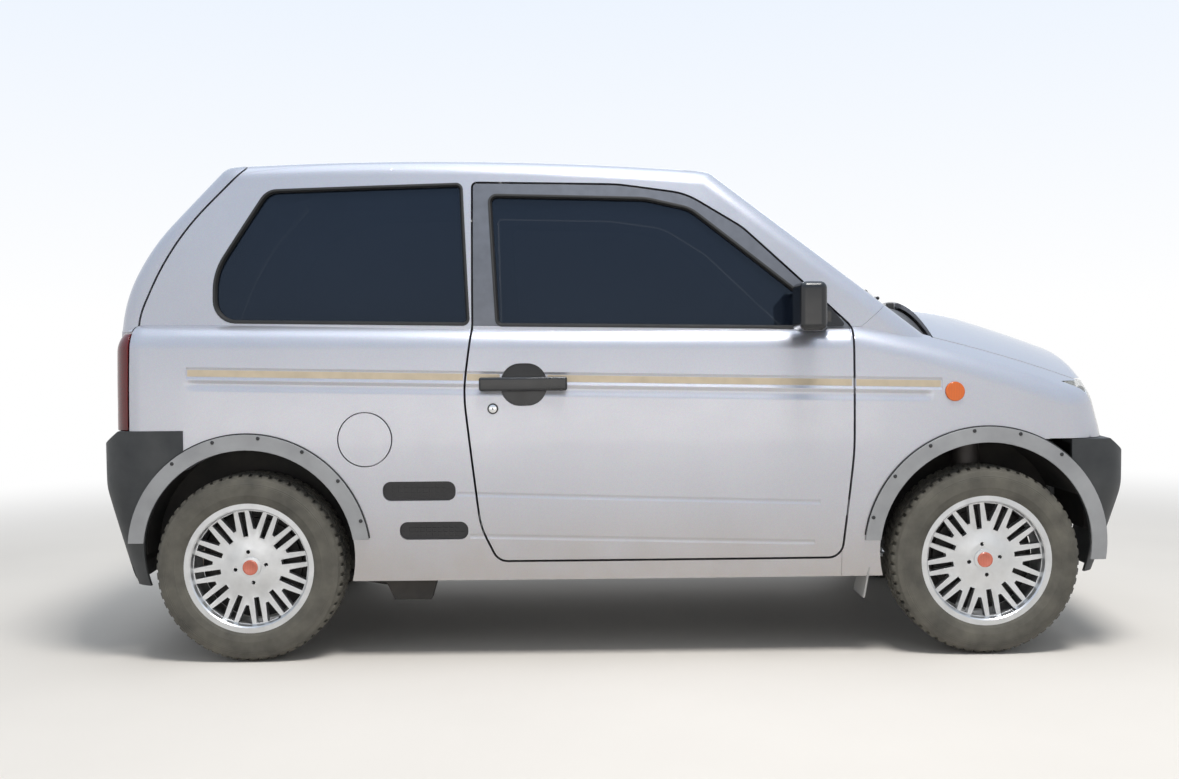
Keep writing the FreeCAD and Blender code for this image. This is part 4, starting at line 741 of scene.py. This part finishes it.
def skinPoints(x, z, height, sign):
    # points on the side at a place seen from the side (millimetres), standing off by a height: each turn
    # moves them across the car by the height that is left, over the slope's share that way
    x, z = np.broadcast_arrays(np.asarray(x, float), np.asarray(z, float))
    points = np.stack([x.ravel(), np.full(x.size, sign * 700.0), z.ravel()], 1)
    height = np.broadcast_to(height, x.shape).ravel()
    for turn in range(8):
        level, direction = skinHeight(points)
        across = direction[:, 1]
        points[:, 1] -= (level - height) / np.where(np.abs(across) < 0.3, sign * 0.3, across)
    return (points / 1000).reshape(x.shape + (3,))


def sectionOnSkin(name, path, outward, section, closed, sign, material, body):
    # section rows (offset along outward, height over the skin) carried along a path of (x, z), millimetres
    rows = [skinPoints(*(path + outward * offset).T, height, sign) for offset, height in section]
    if closed:
        faces = gridFaces(len(path), len(section), True, True)
    else:
        faces = tubeFaces(len(path), len(section))
    newPiece(name, np.stack(rows, 1), faces, material, body)


# Tan strip in its pressed channel, a painted reflection of the ground: a closed flat section along the
# channel's line

reflectionStrip = {"rear": (-1363, 929), "front": (1045, 870), "height": 21.0, "step": 30.0, "thick": 0.9,
          "stand": -2.3,
          "runs": {"body": [(-1358, -478), (771, 1040)], "door": [(-466, -362), (-209, 757)]}}


def reflectionStripPiece(name, startX, endX, sign, body):
    (x0, z0), (x1, z1) = reflectionStrip["rear"], reflectionStrip["front"]
    x = np.linspace(startX, endX, max(2, int((endX - startX) / reflectionStrip["step"])))
    path = np.stack([x, z0 + (x - x0) * (z1 - z0) / (x1 - x0)], 1)
    half, low, high = reflectionStrip["height"] / 2, reflectionStrip["stand"] - reflectionStrip["thick"], reflectionStrip["stand"]
    section = [(-half, low), (-half, high), (0, high), (half, high), (half, low)]
    sectionOnSkin(name, path, np.array([0, 1]), section, False, sign, groundReflectionTan, body)


for side, sign in sides.items():
    for body, runs in reflectionStrip["runs"].items():
        for index, (startX, endX) in enumerate(runs):
            reflectionStripPiece("stripe_%s_%s_%d" % (body, side, index), startX, endX, sign,
                        "door_" + side if body == "door" else "body")
print("stripes laid")


# Window seals: a rubber section carried round each outline

# corners of the outlines: x, z and radius, millimetres
outlines = {
    "door": [(-399, 1497, 25), (-373, 1070, 20), (604, 1052, 15), (600, 1168, 10), (255, 1446, 120),
             (110, 1480, 200)],
    "quarter": [(-486, 1535, 20), (-461, 1073, 20), (-1296, 1091, 75), (-1299, 1255, 200), (-1130, 1524, 60)],
}
# rubber section: offset outward from the outline, height over the skin
sealSection = [(3.0, -1.0), (3.0, 1.2), (0.5, 2.0), (-4.0, 1.0), (-9.0, -8.0), (-9.0, -15.0), (-3.0, -15.0),
               (0.0, -4.0)]


def roundedOutline(corners, turns=8, spacing=30.0):
    # points and outward directions along straight runs and corner arcs
    points = []
    count = len(corners)
    for index in range(count):
        here = np.array(corners[index][:2], float)
        before = np.array(corners[index - 1][:2], float)
        after = np.array(corners[(index + 1) % count][:2], float)
        back, ahead = before - here, after - here
        back, ahead = back / np.hypot(*back), ahead / np.hypot(*ahead)
        half = math.acos(np.clip(back @ ahead, -1, 1)) / 2
        radius = max(corners[index][2], 2)
        bisector = (back + ahead) / np.hypot(*(back + ahead))
        centre = here + bisector * radius / math.sin(half)
        reach = radius / math.tan(half)
        start, end = here + back * reach - centre, here + ahead * reach - centre
        a0, a1 = math.atan2(start[1], start[0]), math.atan2(end[1], end[0])
        sweep = (a1 - a0 + math.pi) % (2 * math.pi) - math.pi
        angles = a0 + sweep * np.linspace(0, 1, turns)
        points.append(centre + radius * np.stack([np.cos(angles), np.sin(angles)], 1))
    loop = []
    for index in range(count):
        loop.append(points[index])
        gap = points[(index + 1) % count][0] - points[index][-1]
        steps = int(np.hypot(*gap) / spacing)
        if steps > 1:
            shares = np.arange(1, steps)[:, None] / steps
            loop.append(points[index][-1] + gap * shares)
    loop = np.concatenate(loop)
    along = np.roll(loop, -1, 0) - np.roll(loop, 1, 0)
    along /= np.hypot(along[:, 0], along[:, 1])[:, None]
    outward = np.stack([along[:, 1], -along[:, 0]], 1)
    if ((loop - loop.mean(0)) * outward).sum() < 0:
        outward = -outward
    return loop, outward


for side, sign in sides.items():
    for window, body in (("door", "door_" + side), ("quarter", "body")):
        loop, outward = roundedOutline(outlines[window])
        sectionOnSkin("%s_seal_%s" % (window, side), loop, outward, sealSection, True, sign, rubberSeal, body)
print("seals laid")


# Tyres: ringed sidewall and five rows of blocks

# the bulge is full between two shares of the sidewall's reach; the block's edges are let down at its ends
tyre = {"beadReach": 0.2035, "sideReach": 0.2865, "bead": 0.0675, "bulge": 0.0882, "fullFrom": 0.36,
        "fullTo": 0.62, "fall": 0.031, "rings": (0.16, 0.21, 0.70, 0.76, 0.82), "ringHeight": 0.0009,
        "ringWidth": 0.012, "shoulder": (0.2915, 0.0745), "tread": 0.2940, "crownHalf": 0.068,
        "innerHalf": 0.060, "outside": 0.3018, "segments": 120, "pitches": 58, "blockShare": 0.74,
        "shoulderShare": 0.66, "shoulderShift": 0.25, "slant": 3.0, "sunk": 0.002, "edge": 0.0008,
        "bevel": 0.0015, "endDrop": 0.0016}
# middle rows of blocks: offset of the middle, half width, angle shift in pitches
treadRows = [(0.0, 0.0095, 0.0), (0.0255, 0.0115, 0.5), (-0.0255, 0.0115, 0.5)]
# section of the shoulder blocks: offset, drop below the outside
shoulderRow = [(0.0425, 0.0098), (0.0425, 0.0008), (0.044, 0.0), (0.060, 0.0012), (0.0690, 0.0045),
               (0.0765, 0.0135), (0.0795, 0.0218), (0.070, 0.0188)]


def wheelPlace(axle, side):
    return axles[axle], sides[side] * wheelY, wheelZ


def tyreCarcass(place):
    # side: a bulge that rises with the sine of the reach, stays full and falls off, with small rings on it;
    # crown: flat across, under the blocks
    share = np.linspace(0, 1, 46)
    reach = tyre["beadReach"] + share * (tyre["sideReach"] - tyre["beadReach"])
    rising = np.sin(np.pi * (0.98 * np.minimum(share, tyre["fullFrom"]) + 0.02)) ** 0.55
    rising = tyre["bead"] + (tyre["bulge"] - tyre["bead"]) * rising
    falling = tyre["bulge"] - np.maximum(share - tyre["fullTo"], 0) ** 1.6 * tyre["fall"]
    bulge = np.where(share > tyre["fullFrom"], falling, rising)
    for ring in tyre["rings"]:
        bulge = bulge + tyre["ringHeight"] * np.exp(-((share - ring) / tyre["ringWidth"]) ** 2)
    side, far = np.stack([reach, bulge], 1), np.array([1, -1])
    crown = np.stack([np.full(9, tyre["tread"]), np.linspace(tyre["crownHalf"], -tyre["crownHalf"], 9)], 1)
    edge = np.array([tyre["shoulder"]])
    inside = tyre["beadReach"] - 0.001
    inner = [[inside, -tyre["innerHalf"]], [inside, tyre["innerHalf"]]]
    profile = np.concatenate([side, edge, crown, edge * far, side[::-1] * far, inner])
    return turned(profile, place, tyre["segments"], True)


def treadBlocks(place, section, shift, share, slant):
    # one closed section (offset, reach) carried over part of each pitch, its ends a little lower
    pitch = 2 * np.pi / tyre["pitches"]
    stations = np.array([-0.5, -0.44, 0.0, 0.44, 0.5]) * share * pitch
    lower = np.array([1, 0, 0, 0, 1])[:, None] * tyre["endDrop"]
    offset, reach = np.array(section).T
    start = (np.arange(tyre["pitches"]) + shift) * pitch
    angle = start[:, None, None] + stations[:, None] + slant * offset
    reach = reach - lower * (reach > tyre["tread"])
    points = np.stack([place[0] + reach * np.sin(angle), place[1] + offset + 0 * angle,
                       place[2] + reach * np.cos(angle)], -1)
    block, size = tubeFaces(len(stations), len(offset)), len(stations) * len(offset)
    starts = range(0, tyre["pitches"] * size, size)
    return points, [[index + first for index in face] for first in starts for face in block]


def buildTyre(axle, side):
    place, top = wheelPlace(axle, side), tyre["outside"]
    base, edge, bevel = tyre["tread"] - tyre["sunk"], top - tyre["edge"], tyre["bevel"]
    parts = [tyreCarcass(place)]
    for middle, half, shift in treadRows:
        low, high = middle - half, middle + half
        section = [(low, base), (low, edge), (low + bevel, top), (high - bevel, top), (high, edge),
                   (high, base)]
        slant = tyre["slant"] if middle >= 0 else -tyre["slant"]
        parts.append(treadBlocks(place, section, shift, tyre["blockShare"], slant))
    for hand in (-1, 1):
        section = [(hand * offset, top - drop) for offset, drop in shoulderRow]
        parts.append(treadBlocks(place, section, tyre["shoulderShift"] * hand, tyre["shoulderShare"], 0.0))
    points, faces = joined(parts)
    tag = axle + "_" + side
    newPiece("tread_" + tag, points, faces, tyreRubber, "wheel_" + tag, "tyre_" + tag)


for axle in axles:
    for side in sides:
        buildTyre(axle, side)
print("tyres built")


# Turned parts: domes, discs and rings about a cross-wise axis


def turnedPiece(name, rows, place, sign, material, body, segments):
    # rows of (reach, offset outward from place), closed at both ends on the axis or as a ring
    points, faces = turned(np.array(rows) * [1, sign], place, segments, rows[0][0] > 0)
    newPiece(name, points, faces, material, body)


# Wheels: bevelled rim, plain centre cap, nuts, valve and brake disc

wheel = {"nuts": 4, "nutCircle": 0.050, "valveX": 0.093, "valveZ": -0.161076,
         "cap": [(0.0, 0.0582), (0.0245, 0.0582), (0.0245, 0.0617), (0.0225, 0.0634), (0.0180, 0.0638),
                 (0.0165, 0.0630), (0.0, 0.0634)],
         "nut": [(0.0, 0.020), (0.0052, 0.020), (0.0052, 0.046), (0.0035, 0.0485), (0.0, 0.0490)],
         "valve": [(0.0, 0.040), (0.004, 0.040), (0.004, 0.066), (0.003, 0.070), (0.0, 0.071)],
         "brake": [(0.093, -0.028), (0.176, -0.028), (0.176, -0.024), (0.152, -0.020), (0.152, -0.002),
                   (0.093, -0.002)]}


def dressWheel(axle, side):
    tag, sign, place = axle + "_" + side, sides[side], wheelPlace(axle, side)
    body, slot = "wheel_" + tag, "alloy_silver"
    dressedNode("rim_" + tag, rimSilver, body, 0.0012, 2, 28)
    turnedPiece("hub_cap_" + tag, wheel["cap"], place, sign, capRed, body, 40)
    for index in range(wheel["nuts"]):
        angle = 2 * math.pi * index / wheel["nuts"]
        spot = (place[0] + wheel["nutCircle"] * math.sin(angle), place[1],
                place[2] + wheel["nutCircle"] * math.cos(angle))
        turnedPiece("wheel_nut_%s_%d" % (tag, index), wheel["nut"], spot, sign, chrome, body, 6)
    spot = (place[0] + wheel["valveX"], place[1], place[2] + wheel["valveZ"])
    turnedPiece("valve_" + tag, wheel["valve"], spot, sign, blackPlastic, body, 16)
    turnedPiece("brake_disc_" + tag, wheel["brake"], place, sign, discSteel, body, 64)


for axle in axles:
    for side in sides:
        dressWheel(axle, side)
print("wheels dressed")


# Arch mouldings: bevelled ring, rubber bead along its outer edge and dark screws

# spans of the bead and of the screws in degrees, lengths in millimetres
archTrim = {"radius": 390.0, "bead": 2.6, "beadStand": 3.0, "beadRise": 3.2, "screwRadius": 380.0,
            "stand": 10.0, "screws": 6, "headRadius": 0.0062, "headHeight": 0.0022,
            "spans": {"front": ((40, 173), (52, 164)), "rear": ((8, 138), (17, 128))}}
dressedNode("arch_mouldings", mouldPlastic, "body", 0.0022)


def domeRows(radius, height):
    turn = np.linspace(0, np.pi / 2, 6)[:-1]
    dome = np.stack([radius * np.cos(turn), height * np.sin(turn)], 1).tolist()
    return [(0.0, -0.002), (radius, -0.002)] + dome + [(0.0, height)]


def dressArch(axle, side):
    tag, sign, centre = axle + "_" + side, sides[side], np.array([axles[axle], archZ]) * 1000
    beadSpan, screwSpan = archTrim["spans"][axle]
    angle = np.radians(np.linspace(*beadSpan, 72))
    outward = np.stack([np.cos(angle), np.sin(angle)], 1)
    turn = np.linspace(0, 2 * np.pi, 8, endpoint=False)
    section = np.stack([archTrim["bead"] * (0.6 + np.cos(turn)),
                        archTrim["beadStand"] + archTrim["beadRise"] * np.sin(turn)], 1)
    sectionOnSkin("arch_bead_" + tag, centre + archTrim["radius"] * outward, outward, section, False, sign,
                  rubberSeal, "body")
    head = domeRows(archTrim["headRadius"], archTrim["headHeight"])
    for index, angle in enumerate(np.radians(np.linspace(*screwSpan, archTrim["screws"]))):
        place = centre + archTrim["screwRadius"] * np.array([math.cos(angle), math.sin(angle)])
        spot = skinPoints(*place, archTrim["stand"], sign)
        turnedPiece("arch_screw_%s_%d" % (tag, index), head, spot, sign, blackPlastic, "body",
                    20)


for side in sides:
    for axle in axles:
        dressArch(axle, side)
print("arches dressed")


# Trim, lamps and bumpers with their edges broken: material, slot and width of the bevel in metres

trim = {
    "front_bumper": (bumperPlastic, "bumper_plastic", 0.006),
    "rear_bumper": (bumperPlastic, "bumper_plastic", 0.006),
    "tail_lamps": (lampRed, "lamp_red", 0.003), "headlamps": (lampClear, "lamp_clear", 0.003),
    "side_markers": (lampAmber, "lamp_amber", 0.003), "cowl_panel": (cowlPlastic, "dark_plastic", 0.0),
    "grille": (blackPlastic, "dark_plastic", 0.0015), "mud_flaps": (flapRubber, "rubber", 0.001),
    "dashboard": (cabinPlastic, "dark_plastic", 0.008), "wipers": (blackPlastic, "dark_plastic", 0.001),
    "steering_wheel": (cabinPlastic, "dark_plastic", 0.002),
}
for side in sides:
    trim["handle_" + side] = (glossPlastic, "dark_plastic", 0.007)
    trim["mirror_" + side] = (glossPlastic, "dark_plastic", 0.018)
for node, (material, slot, bevel) in trim.items():
    dressedNode(node, material, bodyOf(node), bevel)

# dark plates behind the vents, painted shade for the dark pocket behind the mesh: x and z from and to,
# millimetres
vents = {"upper": (-735, -509, 519, 573), "lower": (-684, -471, 393, 443)}
for side, sign in sides.items():
    for level, (x0, x1, z0, z1) in vents.items():
        across, up = np.meshgrid(np.linspace(x0, x1, 9), np.linspace(z0, z1, 3), indexing="ij")
        points, faces = slab(skinPoints(across, up, -10.5, sign), skinPoints(across, up, -12.5, sign))
        newPiece("vent_shade_plate_%s_%s" % (level, side), points, faces, blackPlastic, "body")


# Cowl apron: closes the space between the windscreen's lower edge and the cowl

# inset behind the screen is measured square to it, and lean is the forward share of that direction; the
# cowl's crown is crownTop high at crownX, falls forward from there, and off to the sides on a radius
apron = {"half": 605.0, "top": 1132.0, "cornerRise": 58.0, "cornerFrom": 520.0, "inset": 7.0, "thick": 2.5,
         "lean": 0.618, "frontX": 1031.0, "columns": 61, "rows": 7, "overlap": 3.0,
         "crownX": 1060.0, "crownTop": 1124.0, "crownFall": 0.255, "crownRadius": 1500.0}


def screenX(y, z, inset):
    # the screen's straight line moved inward, turned about its upright axis
    (lowReach, lowZ), (highReach, highZ) = bodyShape["screenLine"]
    reach = lowReach - inset / apron["lean"] - (z - lowZ) * (lowReach - highReach) / (highZ - lowZ)
    axis = bodyShape["screenAxis"]
    return axis + np.sqrt((reach - axis) ** 2 - y ** 2)


def apronSheet(inset):
    # rows between the line where the screen meets the cowl's crown and a line behind the glass's lower edge
    y = np.linspace(-apron["half"], apron["half"], apron["columns"])
    side = apron["crownRadius"] - np.sqrt(apron["crownRadius"] ** 2 - y ** 2)
    low = np.full(len(y), apron["crownX"])
    for turn in range(12):
        x = np.minimum(screenX(y, low, inset), apron["frontX"])
        low = (low + apron["crownTop"] + apron["crownFall"] * (apron["crownX"] - x) - side) / 2
    low = low - apron["overlap"]
    corner = np.clip((np.abs(y) - apron["cornerFrom"]) / (apron["half"] - apron["cornerFrom"]), 0, 1)
    high = apron["top"] + apron["cornerRise"] * corner ** 2
    z = low + (high - low) * np.linspace(0, 1, apron["rows"])[:, None]
    y = np.broadcast_to(y, z.shape)
    return np.stack([np.minimum(screenX(y, z, inset), apron["frontX"]), y, z], -1) / 1000


points, faces = slab(apronSheet(apron["inset"]), apronSheet(apron["inset"] + apron["thick"]))
newPiece("cowl_apron", points, faces, cowlPlastic, "body")


# Mirror glasses, and the bowl and bulb behind each headlamp

# mirror: y and z from and to and the corners' radius in millimetres, x from and to in metres
mirror = {"y": (752, 856), "z": (1056, 1176), "corner": 16, "x": (0.5855, 0.5885)}
# the bowl opens forward from its pole as a parabola, metres
headlamp = {"y": 0.528, "z": 0.782, "radius": 0.068, "pole": 1.512, "depth": 0.050, "wall": 0.002,
            "bulb": 0.010, "bulbFrom": 0.026, "bulbStretch": 1.6}


def mirrorGlass(side, sign):
    (y0, y1), (z0, z1), radius = mirror["y"], mirror["z"], mirror["corner"]
    corners = [(sign * y, z, radius) for y, z in ((y0, z0), (y1, z0), (y1, z1), (y0, z1))]
    loop = roundedOutline(corners, 6, 400.0)[0] / 1000
    points = [np.insert(loop, 0, x, 1) for x in mirror["x"]]
    newPiece("mirror_glass_" + side, points, tubeFaces(2, len(loop)), chrome, "door_" + side)


def headlampInside(side, sign):
    place = (headlamp["pole"], sign * headlamp["y"], headlamp["z"])
    share = np.linspace(0, 1, 12)
    bowl = np.stack([headlamp["radius"] * np.sqrt(share), headlamp["depth"] * share], 1)
    back = bowl[::-1] + headlamp["wall"] * np.stack([share[::-1] > 0, -np.ones(12)], 1)
    points, faces = turned(np.concatenate([bowl, back]), place, 48, False, True)
    newPiece("headlamp_bowl_" + side, points, faces, chrome, "body")
    turn = np.linspace(-np.pi / 2, np.pi / 2, 9)
    bulb = np.stack([np.cos(turn), headlamp["bulbStretch"] * np.sin(turn)], 1) * headlamp["bulb"]
    points, faces = turned(bulb + [0, headlamp["bulbFrom"]], place, 24, False, True)
    newPiece("headlamp_bulb_" + side, points, faces, lampWarm, "body")


for side, sign in sides.items():
    mirrorGlass(side, sign)
    headlampInside(side, sign)
print("lamps and mirrors dressed")


# Seats: evenly meshed copies blown up a little, as stuffed covers are

padding = {"voxel": 0.014, "pressure": 4.0, "shrink": 0.004, "cap": 0.012, "steps": 20, "pinBelow": 0.36}


def meshPoints(mesh):
    flat = np.empty(len(mesh.vertices) * 3)
    mesh.vertices.foreach_get("co", flat)
    return flat.reshape(-1, 3)


def paddedNode(node, material, body):
    name = node + "_padded"
    made = linked(name, meshFrom(mergedCopy(node), name))
    even = made.modifiers.new("even", "REMESH")
    even.mode, even.voxel_size = "VOXEL", padding["voxel"]
    shaped = bpy.data.meshes.new_from_object(made.evaluated_get(bpy.context.evaluated_depsgraph_get()))
    made.modifiers.clear()
    made.data = shaped
    start = meshPoints(shaped)
    outward = np.array([vertex.normal[:] for vertex in shaped.vertices])
    start = start - outward * padding["shrink"] * (start[:, 2:] > padding["pinBelow"])
    shaped.vertices.foreach_set("co", start.ravel())
    air = made.modifiers.new("air", "CLOTH")
    air.settings.quality = 5
    air.settings.use_pressure = True
    air.settings.uniform_pressure_force = padding["pressure"]
    air.settings.effector_weights.gravity = 0
    for step in range(1, padding["steps"] + 1):
        bpy.context.scene.frame_set(step)
    blown = made.evaluated_get(bpy.context.evaluated_depsgraph_get())
    end = meshPoints(blown.data)
    made.modifiers.clear()
    bpy.context.scene.frame_set(1)
    move = end - start
    length = np.linalg.norm(move, axis=1)[:, None]
    move = move * np.minimum(1, padding["cap"] / np.maximum(length, 1e-9))
    move[start[:, 2] < padding["pinBelow"]] = 0
    shaped.vertices.foreach_set("co", (start + move).ravel())
    shaped.polygons.foreach_set("use_smooth", np.ones(len(shaped.polygons), bool))
    shaped.update()
    finer = made.modifiers.new("finer", "SUBSURF")
    finer.levels = finer.render_levels = 1
    carried(made, material, body, node)


paddedNode("front_seats", seatCloth, "body")
paddedNode("rear_seat", seatCloth, "body")
print("seats padded")


# Door locks: a bright ring with a dark slit, place in millimetres and rows in metres

lock = {"x": -384.0, "z": 806.0, "stand": 2.0,
        "ring": [(0.0, -0.001), (0.0125, -0.001), (0.0125, 0.0022), (0.011, 0.003), (0.0, 0.0032)],
        "slot": [(0.0, 0.0025), (0.0032, 0.0025), (0.0032, 0.0040), (0.0, 0.0041)]}
for side, sign in sides.items():
    spot, body = skinPoints(lock["x"], lock["z"], lock["stand"], sign), "door_" + side
    turnedPiece("lock_ring_" + side, lock["ring"], spot, sign, chrome, body, 32)
    turnedPiece("key_slot_" + side, lock["slot"], spot, sign, blackPlastic, body, 4)
print("trim dressed")


# Floor and light

studio = {"floorTone": (0.72, 0.69, 0.65), "floorHalf": 30, "fadeFrom": 2.9, "fadeTo": 6.5,
          "glow": 0.42, "glowTone": (0.90, 0.95, 1.0), "cool": (0.68, 0.81, 1.0)}


def paleForCamera(tree, shaderOut, output, factor=None):
    # white where the camera, a mirror or glass looks, kept to the share that factor gives
    shown = put(tree, "ShaderNodeEmission", {"Strength": 1.0})
    path = put(tree, "ShaderNodeLightPath").outputs
    seen = path["Is Camera Ray"]
    for name in ("Is Transmission Ray", "Is Glossy Ray"):
        seen = worked(tree, "MAXIMUM", seen, path[name])
    if factor is not None:
        seen = worked(tree, "MULTIPLY", seen, factor)
    mixer = put(tree, "ShaderNodeMixShader", {0: seen, 1: shaderOut, 2: shown.outputs[0]})
    tree.links.new(mixer.outputs[0], output)
    return shown


def skyColour(tree):
    # white at the horizon, pale blue higher up
    view = put(tree, "ShaderNodeTexCoord").outputs["Generated"]
    return ramp(tree, axisParts(tree, view)["Z"], [(0.03, (1.0, 1.0, 1.0)), (0.55, studio["cool"])])


def buildFloor():
    half = studio["floorHalf"]
    mesh = bpy.data.meshes.new("floor")
    corners = [(-half, -half, 0), (half, -half, 0), (half, half, 0), (-half, half, 0)]
    mesh.from_pydata(corners, [], [(0, 1, 2, 3)])
    made, tree, shader = newMaterial("floor_paper")
    space = objectSpace(tree)
    tone = ramp(tree, noise(tree, space, 0.8, 4.0),
                [(0.3, studio["floorTone"]), (0.7, scaled(studio["floorTone"], 1.05))])
    feed(tree, shader, {"Base Color": tone, "Roughness": 0.85})
    reach = put(tree, "ShaderNodeVectorMath", {0: space}, operation="LENGTH").outputs["Value"]
    fade = mapped(tree, reach, studio["fadeFrom"], studio["fadeTo"], 0, 1)
    paleForCamera(tree, shader.outputs[0], tree.nodes["Material Output"].inputs["Surface"], fade)
    mesh.materials.append(made)
    floor = linked("floor", mesh)


def buildSky():
    world = bpy.data.worlds.new("studio")
    bpy.context.scene.world = world
    world.use_nodes = True
    tree = world.node_tree
    glow = tree.nodes["Background"]
    feed(tree, glow, {"Color": studio["glowTone"], "Strength": studio["glow"]})
    shown = paleForCamera(tree, glow.outputs[0], tree.nodes["World Output"].inputs["Surface"])
    tree.links.new(skyColour(tree), shown.inputs["Color"])


def softLight(name, place, target, size, watts, colour=(1, 1, 1)):
    data = bpy.data.lights.new(name, "AREA")
    data.shape = "RECTANGLE"
    data.size, data.size_y = size
    data.energy = watts
    data.color = colour
    lamp = linked(name, data)
    direction = Vector(target) - Vector(place)
    lamp.matrix_world = Matrix.Translation(place) @ direction.to_track_quat("-Z", "Y").to_matrix().to_4x4()


buildFloor()
buildSky()
softLight("sun_box", (0.9, -2.6, 6.6), (0, -0.2, 0.6), (1.8, 1.8), 350, (1.0, 0.97, 0.93))
softLight("sky_box", (0, 0, 7), (0, 0, 0), (7, 5), 120, (0.84, 0.91, 1.0))
softLight("fill_box", (-0.5, -6.5, 0.9), (0, 0, 0.5), (6, 1.2), 27, (1.0, 0.93, 0.84))
softLight("back_box", (0, 6.5, 3.0), (0, 0, 0.8), (7, 3), 70)
bpy.context.scene.view_settings.view_transform = "Standard"
print("studio lit")
